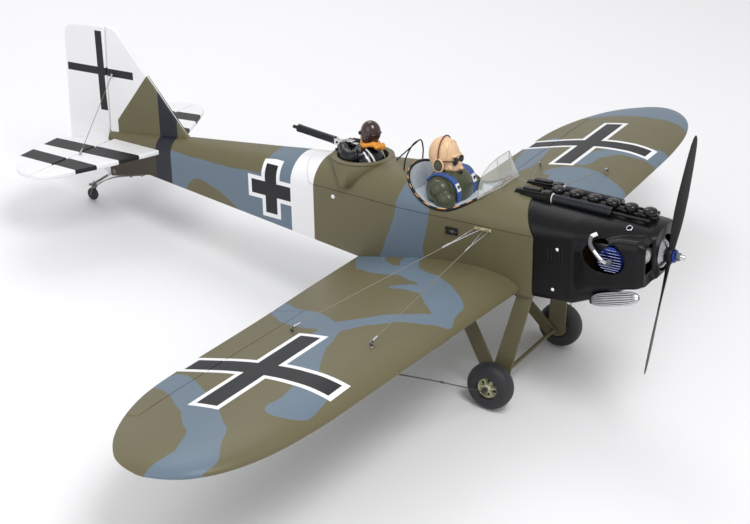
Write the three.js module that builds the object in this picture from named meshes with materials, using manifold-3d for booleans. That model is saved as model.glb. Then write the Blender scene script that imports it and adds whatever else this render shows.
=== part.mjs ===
// Radio-controlled model of a two-seat, low-wing monoplane, standing on its wheels.
// Units are millimetres. X is the span (left wing +X), the nose points to -Y and Z is up.
// The airframe is drawn in its level attitude, and the last lines stand it on its three wheels.
import * as THREE from 'three';
import { mergeVertices } from 'three/addons/utils/BufferGeometryUtils.js';
import { ConvexGeometry } from 'three/addons/geometries/ConvexGeometry.js';
import Module from 'manifold-3d';

const wasm = await Module();
wasm.setup();

// ---------- driving dimensions ----------
const halfSpan = 765;
const bodyHalfWidth = 69; // widest half-width of the fuselage
const skin = 3; // wall of the fuselage and deck
const gap = 0.3; // clearance between touching pieces
const jointY = -166; // front end of the fuselage, where the cowl begins
const tailY = 660; // rear end of the fuselage
const bellyZ = -37.5; // flat underside between the wings
const noseY = -336; // front face of the cowl
const shaftZ = 42; // height of the crankshaft
const wheelRadius = 35.5;
const wheelWidth = 30;
const axleY = -128.3;
const axleZ = -163.8;
const wheelX = 118.4; // middle of a main wheel
const axleRadius = 2;
const tailWheel = { y: 717, z: -62, radius: 11 };
const dihedral = 0.0293; // rise of the wing per millimetre of span
const aileron = { hingeY: 70, inner: 300, outer: 655 };
const hook = { x: 376, aftY: 36.6, foreY: -87.5 }; // wire hooks on the wing
const tailplaneZ = 50;
const elevatorHingeY = 650;
const tailThickness = 8;
const cockpit = { y: -12, halfWidth: 67, halfLength: 75, power: 2.4 };
const pit = { y: 157, rimZ: 102.5, outer: 49, inner: 42 }; // gunner's pit
const floorZ = 66.5; // top of the cockpit floor
const hatchRear = { y: 222, z: 63 };
const hatchLean = 0.64; // rearward lean of the hatch's rear edge, per millimetre of rise
const gunX = 18.5;
const propRadius = 170;
const propAngle = 65; // degrees that the left-hand blade rests above level
const pitch = 8.514; // nose-up angle of the airframe on its wheels
const wheelbaseLift = 178.46;
const centreShiftY = -206.76;

// ---------- solids ----------
function bare(geometry) {
  const copy = geometry.clone();
  copy.deleteAttribute('normal');
  copy.deleteAttribute('uv');
  return mergeVertices(copy, 1e-4);
}

function signedVolume(points, index) {
  let total = 0;
  for (let i = 0; i < index.length; i += 3) {
    const [a, b, c] = [index[i] * 3, index[i + 1] * 3, index[i + 2] * 3];
    total += points[a] * (points[b + 1] * points[c + 2] - points[b + 2] * points[c + 1])
      - points[a + 1] * (points[b] * points[c + 2] - points[b + 2] * points[c])
      + points[a + 2] * (points[b] * points[c + 1] - points[b + 1] * points[c]);
  }
  return total / 6;
}

function solid(geometry) {
  const merged = bare(geometry);
  const points = merged.attributes.position.array;
  const index = [];
  const all = merged.index.array;
  for (let i = 0; i < all.length; i += 3) {
    const [a, b, c] = [all[i], all[i + 1], all[i + 2]];
    if (a !== b && b !== c && a !== c) index.push(a, b, c);
  }
  if (signedVolume(points, index) < 0) index.reverse();
  return new wasm.Manifold(new wasm.Mesh({
    numProp: 3,
    vertProperties: Float32Array.from(points),
    triVerts: Uint32Array.from(index),
  }));
}

function geometryOf(body) {
  const mesh = body.getMesh();
  const geometry = new THREE.BufferGeometry();
  geometry.setAttribute('position', new THREE.BufferAttribute(Float32Array.from(mesh.vertProperties), 3));
  geometry.setIndex(new THREE.BufferAttribute(Uint32Array.from(mesh.triVerts), 1));
  geometry.computeVertexNormals();
  return geometry;
}

const join = (...bodies) => bodies.reduce((sum, body) => sum.add(body));
const cut = (body, ...tools) => tools.reduce((left, tool) => left.subtract(tool), body);

// A skin through rings of points, closed by end faces, or end to end when it loops.
function loft(rings, loops = false) {
  const size = rings[0].length;
  const points = rings.flat(2);
  const index = [];
  const steps = loops ? rings.length : rings.length - 1;
  for (let r = 0; r < steps; r += 1) {
    const here = r * size;
    const next = ((r + 1) % rings.length) * size;
    for (let i = 0; i < size; i += 1) {
      const j = (i + 1) % size;
      index.push(here + i, here + j, next + j, here + i, next + j, next + i);
    }
  }
  if (!loops) {
    for (const [r, flip] of [[0, true], [rings.length - 1, false]]) {
      const middle = points.length / 3;
      const sum = rings[r].reduce((t, p) => [t[0] + p[0], t[1] + p[1], t[2] + p[2]], [0, 0, 0]);
      points.push(sum[0] / size, sum[1] / size, sum[2] / size);
      for (let i = 0; i < size; i += 1) {
        const [a, b] = [r * size + i, r * size + ((i + 1) % size)];
        index.push(middle, flip ? b : a, flip ? a : b);
      }
    }
  }
  const geometry = new THREE.BufferGeometry();
  geometry.setAttribute('position', new THREE.BufferAttribute(Float32Array.from(points), 3));
  geometry.setIndex(index);
  return solid(geometry);
}

function box(x, y, z) {
  const geometry = new THREE.BoxGeometry(x[1] - x[0], y[1] - y[0], z[1] - z[0]);
  geometry.translate((x[0] + x[1]) / 2, (y[0] + y[1]) / 2, (z[0] + z[1]) / 2);
  return solid(geometry);
}

// A round bar or cone from one point to another.
function bar(from, to, radius, endRadius = radius, sides = 12) {
  const a = new THREE.Vector3(...from);
  const b = new THREE.Vector3(...to);
  const along = b.clone().sub(a);
  const geometry = new THREE.CylinderGeometry(endRadius, radius, along.length(), sides);
  geometry.applyQuaternion(new THREE.Quaternion().setFromUnitVectors(
    new THREE.Vector3(0, 1, 0), along.normalize()));
  const middle = a.add(b).multiplyScalar(0.5);
  geometry.translate(middle.x, middle.y, middle.z);
  return solid(geometry);
}

function ball(centre, radii, sides = 14) {
  const geometry = new THREE.SphereGeometry(1, sides, Math.round(sides * 0.7));
  geometry.rotateX(Math.PI / 2);
  geometry.scale(...radii);
  geometry.translate(...centre);
  return solid(geometry);
}

function hull(points) {
  return solid(new ConvexGeometry(points.map((p) => new THREE.Vector3(...p))));
}

// A tube through hand-placed points.
function tube(points, radius, sides = 8, steps = 24) {
  const path = new THREE.CatmullRomCurve3(points.map((p) => new THREE.Vector3(...p)));
  const section = new THREE.Shape();
  section.absarc(0, 0, radius, 0, Math.PI * 2, false);
  return solid(new THREE.ExtrudeGeometry(section, {
    steps, curveSegments: Math.ceil(sides / 2), extrudePath: path, bevelEnabled: false,
  }));
}

function outline(points) {
  const shape = new THREE.Shape();
  points.forEach(([u, v], i) => (i ? shape.lineTo(u, v) : shape.moveTo(u, v)));
  shape.closePath();
  return shape;
}

// A slab whose outline is drawn in Y and Z, between two X values.
function sideSlab(points, x) {
  const geometry = new THREE.ExtrudeGeometry(outline(points),
    { depth: x[1] - x[0], bevelEnabled: false });
  geometry.applyMatrix4(new THREE.Matrix4().set(0, 0, 1, x[0], 1, 0, 0, 0, 0, 1, 0, 0, 0, 0, 0, 1));
  return solid(geometry);
}

// A slab whose outline is drawn in X and Y, between two Z values.
function planSlab(points, z) {
  const geometry = new THREE.ExtrudeGeometry(outline(points),
    { depth: z[1] - z[0], bevelEnabled: false });
  geometry.translate(0, 0, z[0]);
  return solid(geometry);
}

// A turned body about the line through (x, z) parallel to Y; the profile lists [radius, y].
function turned(profile, x, z, sides = 20) {
  const geometry = new THREE.LatheGeometry(profile.map(([r, y]) => new THREE.Vector2(r, y)), sides);
  geometry.translate(x, 0, z);
  return solid(geometry);
}

// A turned body about the line through (y, z) parallel to X; the profile lists [radius, x].
function turnedAcross(profile, y, z, sides = 20) {
  const geometry = new THREE.LatheGeometry(profile.map(([r, x]) => new THREE.Vector2(r, x)), sides);
  geometry.rotateZ(-Math.PI / 2);
  geometry.translate(0, y, z);
  return solid(geometry);
}

// Linear reading of a table of [y, value] rows.
function read(table, y) {
  const last = table.length - 1;
  if (y <= table[0][0]) return table[0][1];
  if (y >= table[last][0]) return table[last][1];
  const i = table.findIndex((row) => row[0] >= y);
  const [[y0, v0], [y1, v1]] = [table[i - 1], table[i]];
  return v0 + ((v1 - v0) * (y - y0)) / (y1 - y0);
}

// ---------- fuselage form ----------
const widthLine = [[-166, bodyHalfWidth], [50, bodyHalfWidth], [tailY, 12]];
const spineLine = [[-166, 99.5], [-143, 101.5], [-100, 105.5], [-50, 108.5], [60, 108.5], [155, 102.5],
  [215, 97.5], [326, 89], [490, 77.5], [tailY, 64]];
const shoulderLine = [[-166, 58], [215, 58], [tailY, 46]];
const keelLine = [[-166, bellyZ], [131, bellyZ], [569, 4], [tailY, -16]];
const deckSteps = 10;

function bodyRing(y, half, keel, shoulder, spine, corner) {
  const ring = [[half - corner, y, keel], [half, y, keel + corner]];
  for (let i = 0; i <= deckSteps; i += 1) {
    const angle = (Math.PI * i) / deckSteps;
    ring.push([half * Math.cos(angle), y, shoulder + (spine - shoulder) * Math.sin(angle)]);
  }
  ring.push([-half, y, keel + corner], [corner - half, y, keel]);
  return ring;
}

function fuselageForm(inset, fromY, toY) {
  const stations = [fromY, -143, -100, -50, 50, 131, 155, 215, 326, 490, 569, toY]
    .filter((y) => y >= fromY && y <= toY);
  return loft([...new Set(stations)].map((y) => bodyRing(y, read(widthLine, y) - inset,
    read(keelLine, y) + inset, read(shoulderLine, y), read(spineLine, y) - inset, 4)));
}

// Height of the deck's surface above a point in plan.
function deckZ(x, y) {
  const reach = Math.min(1, Math.abs(x) / read(widthLine, y));
  const shoulder = read(shoulderLine, y);
  return shoulder + (read(spineLine, y) - shoulder) * Math.sqrt(1 - reach * reach);
}

// The cowl joint is upright on the sides and sweeps back over the deck.
function behindJoint(shift) {
  return sideSlab([[jointY + shift, -80], [jointY + shift, 57], [-142 + shift, 97],
    [-142 + shift, 160], [700, 160], [700, -80]], [-100, 100]);
}

// The hatch's rear edge leans aft, so that the hatch comes away upward and backward.
function aboveSeam(shift) {
  const rear = hatchRear.y - shift;
  return sideSlab([[-200, 57 + shift], [rear, hatchRear.z + shift],
    [rear + (160 - hatchRear.z) * hatchLean, 160], [-200, 160]], [-100, 100]);
}

function cockpitCutter(grow) {
  const points = [];
  for (let i = 0; i < 28; i += 1) {
    const angle = (Math.PI * 2 * i) / 28;
    const [c, s] = [Math.cos(angle), Math.sin(angle)];
    const power = 2 / cockpit.power;
    points.push([(cockpit.halfWidth + grow) * Math.sign(c) * Math.abs(c) ** power,
      cockpit.y + (cockpit.halfLength + grow) * Math.sign(s) * Math.abs(s) ** power]);
  }
  return points;
}

// ---------- scene graph and materials ----------
const part = new THREE.Group();
const airframe = new THREE.Group();
part.add(airframe);

function material(color, roughness, metalness = 0, opacity = 1) {
  return new THREE.MeshStandardMaterial({
    color, roughness, metalness, opacity, transparent: opacity < 1,
  });
}

const olive = material(0x6f6b50, 0.6);
const white = material(0xeeeeee, 0.55);
const black = material(0x1f1f21, 0.45);
const darkTyre = material(0x333335, 0.8);
const cream = material(0xc6c3a4, 0.5);
const silver = material(0xb9bcc0, 0.3, 0.9);
const steel = material(0x8d9094, 0.35, 0.9);
const brass = material(0xcbbd84, 0.35, 0.8);
const blueMetal = material(0x2b3f9a, 0.35, 0.8);
const plywood = material(0xb98f5a, 0.7);
const clear = material(0xdfe8ea, 0.1, 0, 0.3);
const figure = material(0x4f5238, 0.6);
const leather = material(0x3a2520, 0.35);
const plastic = material(0x26282b, 0.5);

function add(name, body, look) {
  const mesh = new THREE.Mesh(geometryOf(body), look);
  mesh.name = name;
  airframe.add(mesh);
}

const sides = [['right', -1], ['left', 1]];

// ---------- guns on the nose, drawn first because the deck and cowl have troughs for them ----------
const gunZ = 101;

function noseGun(side, grow) {
  const x = side * gunX;
  const receiver = box([x - 6 - grow, x + 6 + grow], [-171 - grow, -122 + grow],
    [gunZ - 9 - grow, gunZ + 7 + grow]);
  const grip = box([x - 4 - grow, x + 4 + grow], [-124, -114 + grow], [gunZ - 3 - grow, gunZ + 4 + grow]);
  const jacket = bar([x, -170, gunZ - 1], [x, -262, gunZ - 5], 6.5 + grow, 6.5 + grow, 10);
  const muzzle = bar([x, -260, gunZ - 5], [x, -318, gunZ - 8], 2.4 + grow, 2.4 + grow, 6);
  return join(receiver, grip, jacket, muzzle);
}

const gunTroughs = join(noseGun(-1, 0.6), noseGun(1, 0.6));

// ---------- wings ----------
// Flat-bottomed aerofoil: [fraction of chord, height above the flat bottom / chord].
const aerofoilTop = [[0, 0.035], [0.0125, 0.0545], [0.05, 0.079], [0.1, 0.096], [0.2, 0.1136],
  [0.3, 0.117], [0.4, 0.114], [0.55, 0.0985], [0.7, 0.0735], [0.85, 0.0405], [1, 0.006]];
const aerofoilBottom = [[1, 0], [0.6, 0], [0.2, 0], [0.06, 0.004], [0.0125, 0.0193]];
// Plan outline: [distance from the centre, leading edge Y, trailing edge Y].
const wingPlan = [[55, -147, 131], [70, -147, 131], [200, -142.5, 127], [333, -139, 121],
  [515, -134, 117], [585, -130, 111], [638, -124, 97], [680, -114, 79], [712, -101, 60],
  [735, -85, 41], [750, -68, 24], [760, -47, 3], [halfSpan, -28, -18]];
const tipRise = 9; // lift of the underside at the wing tip
const tipStart = 540;

function wingBottomZ(x) {
  const tip = Math.max(0, (Math.abs(x) - tipStart) / (halfSpan - tipStart));
  return bellyZ + dihedral * Math.max(0, Math.abs(x) - 70) + tipRise * tip ** 1.5;
}

function wingForm(side) {
  return loft(wingPlan.map(([x, leading, trailing]) => {
    const chord = trailing - leading;
    return [...aerofoilTop, ...aerofoilBottom].map(([f, h]) => [side * x, leading + f * chord,
      wingBottomZ(x) + h * chord]);
  }));
}

// Height of the aileron hinge, just under the wing's upper skin.
function hingeZ(x) {
  return -18.8 + 0.0175 * (Math.abs(x) - aileron.inner);
}

// The aileron's front face leans back above and below its hinge, so that it can swing.
function aileronWedge(side) {
  const lean = Math.tan(THREE.MathUtils.degToRad(26));
  const [up, down] = [20, 32];
  const ring = (x) => [[side * x, aileron.hingeY + lean * up, hingeZ(x) + up],
    [side * x, aileron.hingeY, hingeZ(x)],
    [side * x, aileron.hingeY + lean * down, hingeZ(x) - down],
    [side * x, 160, hingeZ(x) - down], [side * x, 160, hingeZ(x) + up]];
  return loft([ring(aileron.inner), ring(aileron.outer)]);
}

const aileronGap = 0.8;

// Space for the aileron behind the upright rear face of the wing.
function aileronBay(side) {
  const reach = [aileron.inner - aileronGap, aileron.outer + aileronGap];
  const ends = reach.map((x) => side * x).sort((p, q) => p - q);
  return box(ends, [aileron.hingeY - aileronGap, 160], [-80, 40]);
}

const joinerY = -60;
const joinerZ = -19;
const joinerHalf = 180;
const joinerRadius = 7;
const joinerBore = bar([-joinerHalf - 1, joinerY, joinerZ], [joinerHalf + 1, joinerY, joinerZ],
  joinerRadius + gap, joinerRadius + gap, 14);

const outerBody = fuselageForm(0, -172, tailY);
const bodyClearance = fuselageForm(-gap, -172, tailY);

for (const [word, side] of sides) {
  const form = wingForm(side);
  const servoBay = box([Math.min(side * 448, side * 484), Math.max(side * 448, side * 484)], [0, 24],
    [-60, wingBottomZ(466) + 3]);
  add(`wing_${word}`, cut(form, aileronBay(side), bodyClearance, joinerBore, servoBay), olive);
  add(`aileron_${word}`, form.intersect(aileronWedge(side)), olive);
  const x = side * 466;
  const floor = wingBottomZ(466);
  add(`aileron_servo_${word}`, join(
    box([x - 17.4, x + 17.4], [0.6, 23.4], [floor - 1.2, floor + 2.4]),
    bar([x, 12, floor - 1], [x, 12, floor - 5], 4, 4, 12),
    box([x - 1.5, x + 1.5], [8, 16], [floor - 16, floor - 4]),
  ), plastic);
}
add('wing_joiner', bar([-joinerHalf, joinerY, joinerZ], [joinerHalf, joinerY, joinerZ],
  joinerRadius, joinerRadius, 14), silver);

// ---------- tail surfaces ----------
const tailplaneRearY = elevatorHingeY - 2.2;
const tailplanePlan = [[0, 534], [15, 539], [105, 572], [150, 592], [192, 612], [211, 631],
  [215, tailplaneRearY]];
const elevatorPlan = [[215.5, 652], [214, 664], [210, 676], [202, 688], [186, 704], [150, 729],
  [52, 738], [44, 731], [17, 652]];
const finOutline = [[491, 74], [575, 173], [618, 223], [628, 236], [638, 243], [652.5, 245], [656.5, 160],
  [659.3, 60], [500, 60]];
const rudderTop = { y: 654.5, z: 245 };
const rudderFoot = { y: 665, z: -17 };
const rudderOutline = [[rudderTop.y, rudderTop.z], [700, 243], [733, 239.5], [742, 234], [744.5, 222],
  [751, 40], [746.5, 22], [690, -6], [672, -17], [rudderFoot.y, rudderFoot.z]];

const tailplaneOutline = [...tailplanePlan, ...tailplanePlan.slice(1).reverse().map(([x, y]) => [-x, y])];
const elevatorLegX = 30;
const joinerSlot = box([-36, 36], [elevatorHingeY - 3.4, 660], [40, 60]);

function tailplane(grow) {
  const half = tailThickness / 2 + grow;
  return planSlab(tailplaneOutline, [tailplaneZ - half, tailplaneZ + half]);
}

// The elevator's front face is cut back from its hinge above and below.
function wedgeFront(x) {
  const back = Math.tan(THREE.MathUtils.degToRad(24)) * 6;
  const ring = (at) => [[at, elevatorHingeY + 1 + back, tailplaneZ + 6], [at, elevatorHingeY + 1, tailplaneZ],
    [at, elevatorHingeY + 1 + back, tailplaneZ - 6], [at, 760, tailplaneZ - 6], [at, 760, tailplaneZ + 6]];
  return loft([ring(x[0]), ring(x[1])]);
}

const elevatorRod = 1.8;
const elevatorJoiner = join(
  bar([-elevatorLegX - elevatorRod, elevatorHingeY, tailplaneZ],
    [elevatorLegX + elevatorRod, elevatorHingeY, tailplaneZ], elevatorRod, elevatorRod, 8),
  ...[-elevatorLegX, elevatorLegX].map((x) => bar([x, elevatorHingeY, tailplaneZ],
    [x, 684, tailplaneZ], elevatorRod, elevatorRod, 8)),
);
const joinerSockets = join(...[-elevatorLegX, elevatorLegX].map((x) => (
  bar([x, elevatorHingeY - 2, tailplaneZ], [x, 685, tailplaneZ], 2.4, 2.4, 8))));

const finClearance = sideSlab(finOutline, [-tailThickness / 2 - gap, tailThickness / 2 + gap]);
const fin = cut(sideSlab(finOutline, [-tailThickness / 2, tailThickness / 2]), tailplane(gap));
add('fin', fin, white);
add('stabiliser', cut(tailplane(0), joinerSlot), white);
for (const [word, side] of sides) {
  const plan = elevatorPlan.map(([x, y]) => [side * x, y]);
  const slab = planSlab(plan, [tailplaneZ - tailThickness / 2 + 0.5, tailplaneZ + tailThickness / 2 - 0.5]);
  const reach = side < 0 ? [-230, -1] : [1, 230];
  add(`elevator_${word}`, cut(slab.intersect(wedgeFront(reach)), joinerSockets), white);
}
add('elevator_joiner', elevatorJoiner, steel);

// The rudder's front edge is a wedge about its hinge line.
const rudderHingeGap = 1.2;
const rudderWedge = (() => {
  const back = Math.tan(THREE.MathUtils.degToRad(28)) * 5;
  const ring = ({ y, z }) => {
    const front = y + rudderHingeGap;
    return [[-5, front + back, z], [0, front, z], [5, front + back, z], [5, y + 140, z], [-5, y + 140, z]];
  };
  const slope = (rudderFoot.y - rudderTop.y) / (rudderFoot.z - rudderTop.z);
  const above = { y: rudderTop.y + slope * 20, z: rudderTop.z + 20 };
  const below = { y: rudderFoot.y - slope * 20, z: rudderFoot.z - 20 };
  return loft([ring(above), ring(below)]);
})();
add('rudder', sideSlab(rudderOutline, [-3.6, 3.6]).intersect(rudderWedge), white);

// ---------- fuselage shell ----------
const jointed = outerBody.intersect(behindJoint(0.2));
const innerBody = fuselageForm(skin, -160, 630);
const wireHole = bar([-30, elevatorHingeY, tailplaneZ], [30, elevatorHingeY, tailplaneZ], 2.6, 2.6, 12);
const shell = cut(jointed.subtract(aboveSeam(-0.2)), innerBody, joinerBore, tailplane(gap),
  finClearance, wireHole);
add('fuselage_shell', shell, olive);

// ---------- upper deck: a lift-off hatch with the cockpit and the gunner's pit ----------
const innerDeck = fuselageForm(skin, -137, 212);

function circle(radius, y, z, count = 22) {
  return Array.from({ length: count }, (_, i) => {
    const angle = (Math.PI * 2 * i) / count;
    return [radius * Math.cos(angle), y + radius * Math.sin(angle), z];
  });
}

const pitCollar = hull([...circle(pit.outer, pit.y, pit.rimZ), ...circle(pit.outer - 4, pit.y, 82),
  ...[-1, 1].flatMap((s) => [[s * 64, pit.y - 8, 78], [s * 64, pit.y - 14, 74]])]);
const deckFloor = box([-70, 70], [-100, 205], [floorZ - 3, floorZ])
  .intersect(fuselageForm(skin / 2, -137, 212));
const hatchRaw = join(cut(jointed.intersect(aboveSeam(0.1)), innerDeck), deckFloor, pitCollar
  .intersect(aboveSeam(0.1)));

const rimRadius = 2.4;

// Padded rim that follows the edge of the cockpit opening.
function rimTube(radius) {
  const path = cockpitCutter(0).map(([x, y]) => new THREE.Vector3(x, y, deckZ(x, y)));
  const rings = path.map((point, i) => {
    const ahead = path[(i + 1) % path.length];
    const behind = path[(i + path.length - 1) % path.length];
    const along = ahead.clone().sub(behind).normalize();
    const out = along.clone().cross(new THREE.Vector3(0, 0, 1)).normalize();
    const up = out.clone().cross(along);
    return Array.from({ length: 6 }, (_, k) => {
      const angle = (Math.PI * 2 * k) / 6;
      return point.clone().addScaledVector(out, radius * Math.cos(angle))
        .addScaledVector(up, radius * Math.sin(angle)).toArray();
    });
  });
  return loft(rings, true);
}

const upperDeck = cut(hatchRaw, planSlab(cockpitCutter(0), [floorZ, 140]), rimTube(rimRadius + gap),
  bar([0, pit.y, floorZ], [0, pit.y, 140], pit.inner, pit.inner, 22),
  bar([0, pit.y, pit.rimZ], [0, pit.y, 140], pit.outer + 1, pit.outer + 1, 22), gunTroughs);
add('upper_deck', upperDeck, olive);
add('cockpit_rim', rimTube(rimRadius), black);
for (const [word, side] of sides) add(`nose_gun_${word}`, noseGun(side, 0), black);

// ---------- windshield: three clear panels in one bent sheet ----------
function sheet(rows, thickness) {
  const at = (r, c) => new THREE.Vector3(...rows[r][c]);
  const columns = rows[0].length;
  const offset = rows.map((row, r) => row.map((_, c) => {
    const across = at(r, Math.min(c + 1, columns - 1)).sub(at(r, Math.max(c - 1, 0)));
    const up = at(Math.min(r + 1, rows.length - 1), c).sub(at(Math.max(r - 1, 0), c));
    return at(r, c).addScaledVector(across.cross(up).normalize(), thickness).toArray();
  }));
  return loft(rows.map((row, r) => [...row, ...offset[r].reverse()]));
}

const windshieldHalf = [
  [[56, -70, 92.5], [45, -80, 98.5], [30, -94, 106.5]],
  [[51, -72, 108], [39, -80, 114], [26, -89, 120]],
  [[33, -74, 131], [27, -77, 133], [18, -81, 143]],
];
const windshieldRows = windshieldHalf.map((row) => [...row.map(([x, y, z]) => [-x, y, z]),
  ...row.slice().reverse()]);
add('windshield', cut(sheet(windshieldRows, 1.2), fuselageForm(-gap, -172, tailY),
  rimTube(rimRadius + gap)), clear);

// ---------- roll hoop behind the cockpit ----------
const hoopFoot = deckZ(28, 68) + gap + 1.5;
add('roll_hoop', join(
  tube([[-28, 68, hoopFoot - 1], [-26, 66, 122], [-14, 62, 139], [0, 60, 143], [14, 62, 139],
    [26, 66, 122], [28, 68, hoopFoot - 1]], 1.1, 6, 18),
  bar([0, 60, 142.6], [0, 97, deckZ(0, 97) + gap + 0.4], 1, 1, 6),
), black);

// ---------- pilot ----------
const floorTop = floorZ + gap;
add('pilot', join(
  ball([0, 6, 72], [38, 27, 27], 12),
  bar([0, 8, 90], [0, 8, 104], 13, 12, 10),
  ball([0, 8, 124], [21, 26, 30], 12),
).intersect(box([-40, 40], [-30, 50], [floorTop, 160])), figure);

// ---------- gunner on a turntable with the ring and the gun ----------
function turnedUp(profile, x, y, count = 22) {
  const geometry = new THREE.LatheGeometry(profile.map(([r, z]) => new THREE.Vector2(r, z)), count);
  geometry.rotateX(Math.PI / 2);
  geometry.translate(x, y, 0);
  return solid(geometry);
}

const cupTop = pit.rimZ + gap;
const cupOuter = pit.inner - 0.8;
add('gun_ring', turnedUp([[0, floorZ + 1], [cupOuter, floorZ + 1], [cupOuter, cupTop],
  [pit.outer, cupTop], [pit.outer, cupTop + 3.2], [cupOuter - 2, cupTop + 3.2], [cupOuter - 2, floorZ + 4],
  [0, floorZ + 4]], 0, pit.y), olive);
const gunnerSeat = floorZ + 4 + gap;
add('gunner', join(
  ball([0, pit.y - 8, 92], [26, 19, 31], 10),
  bar([0, pit.y - 8, 115], [0, pit.y - 12, 130], 9, 8, 8),
  ball([0, pit.y - 13, 142.5], [15, 17, 19], 10),
  bar([-22, pit.y - 4, 106], [-12, pit.y + 26, 119], 7, 5.5, 6),
  bar([22, pit.y - 4, 106], [12, pit.y + 26, 119], 7, 5.5, 6),
  ball([-12, pit.y + 26, 119], [6, 6, 6], 6),
  ball([12, pit.y + 26, 119], [6, 6, 6], 6),
).intersect(box([-39, 39], [pit.y - 38, pit.y + 40], [gunnerSeat, 170])), leather);
const gunPostY = pit.y + 44;
add('rear_gun', join(
  box([-5, 5], [pit.y + 16, pit.y + 50], [118, 129]),
  bar([0, pit.y + 48, 124], [0, pit.y + 120, 130], 5, 5, 12),
  bar([0, pit.y + 118, 129.8], [0, pit.y + 128, 130.6], 3.6, 3.6, 12),
  bar([0, gunPostY, cupTop + 3.2 + gap], [0, gunPostY, 120], 2.6, 2.6, 10),
), black);

// ---------- cowl ----------
// Stations of the moulded cowl: Y, half-width, underside Z, shoulder Z and top Z.
const cowlStations = [
  [-138, 69, bellyZ, 58, 101.8], [-166, 69, bellyZ, 58, 99.5], [-225, 67, -36, 62, 96],
  [-275, 57, -18, 66, 93], [-312, 46, 3, 70, 90.5], [-328, 42, 10, 72, 89.5], [noseY, 38, 15, 74, 87.5],
];
// Stations of the bulge over the cylinder, right side only: Y, outer X, underside Z and top Z.
const cheekStations = [
  [-205, -62, -14, 56], [-245, -69.5, -10, 64], [-290, -71, 2, 78], [-322, -71, 9, 80], [-333, -68, 14, 76],
];

function cowlForm(inset, frontInset) {
  const main = loft(cowlStations.map(([y, half, under, shoulder, top], i) => bodyRing(
    i === cowlStations.length - 1 ? y + frontInset : y, half - inset, under + inset, shoulder,
    top - inset, 6)));
  const cheek = loft(cheekStations.map(([y, out, under, top], i) => {
    const x = out + inset;
    const [low, high] = [under + inset, top - inset];
    const at = i === cheekStations.length - 1 ? y + frontInset : y;
    return [[-10, at, low], [x + 7, at, low], [x, at, low + 9], [x, at, high - 10],
      [x + 7, at, high - 2], [-10, at, high]];
  }));
  return join(main, cheek);
}

const engineY = -284; // cylinder axis
const engineZ = 47;
const headRadius = 18.5;
const headOpening = (() => {
  const geometry = new THREE.CylinderGeometry(1, 1, 60, 24);
  geometry.rotateZ(Math.PI / 2);
  geometry.scale(1, 31, 22.5);
  geometry.translate(-80, -273, 49.5);
  return solid(geometry);
})();
const airInlet = box([-64, -40], [-345, -300], [33, 74]);
const noseOpening = bar([0, -345, 45], [0, -300, 45], 26, 26, 28);
const airOutletHalf = 30;
const airOutlet = box([-airOutletHalf, airOutletHalf], [-205, -178], [-60, -10]);
const headHole = headRadius + 1;
const headClearance = bar([-90, engineY, engineZ], [-50, engineY, engineZ], headHole, headHole, 20);
const cowl = cut(cowlForm(0, 0).subtract(behindJoint(-0.2)), cowlForm(2, 2), headOpening, headClearance,
  airInlet, noseOpening, airOutlet, gunTroughs);
add('cowl', cowl, black);

// Row of cylinder covers along the top of the cowl.
function cowlTop(y) {
  return read(cowlStations.map((row) => [row[0], row[4]]).reverse(), y);
}

const coverPlaces = [-171, -199, -227, -255, -283, -311];
const coverRadius = 9.6;
const coverTop = (y) => 105 + (y + 311) * 0.045;
const coverRail = hull([-168, -322].flatMap((y) => [-5, 5].flatMap((x) => [
  [x, y, cowlTop(y) - 6], [x, y, cowlTop(y) + 3]])));
add('cylinder_covers', cut(join(coverRail,
  ...coverPlaces.map((y) => bar([0, y, 86], [0, y, coverTop(y) - 3], coverRadius, coverRadius, 10)),
  ...coverPlaces.map((y) => bar([0, y, coverTop(y) - 3.1], [0, y, coverTop(y)], coverRadius, 5.5, 10)),
), cowlForm(-gap, 0), gunTroughs), black);

// Ribbed silver outlet low on the right side of the cowl.
const outletPlan = [[-262, -19], [-322, -2]];
const outletBody = hull(outletPlan.flatMap(([y, z]) => Array.from({ length: 14 }, (_, i) => {
  const angle = (Math.PI * 2 * i) / 14;
  return [[-56, y + 8 * Math.cos(angle), z + 8 * Math.sin(angle)],
    [-75, y + 8 * Math.cos(angle), z + 8 * Math.sin(angle)],
    [-79, y + 5 * Math.cos(angle), z + 5 * Math.sin(angle)]];
}).flat()));
add('ribbed_outlet', cut(outletBody, cowlForm(-gap, 0)), silver);

// ---------- engine ----------
const firewallY = -212;
add('firewall', cut(join(
  box([-56, 56], [firewallY, firewallY + 6], [-26, 76]),
  box([-56, 56], [firewallY + 5, -162 - skin - 1.4], [-26, 76]),
), box([-51, 51], [firewallY + 6, -150], [-21, 71])), plywood);

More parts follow.
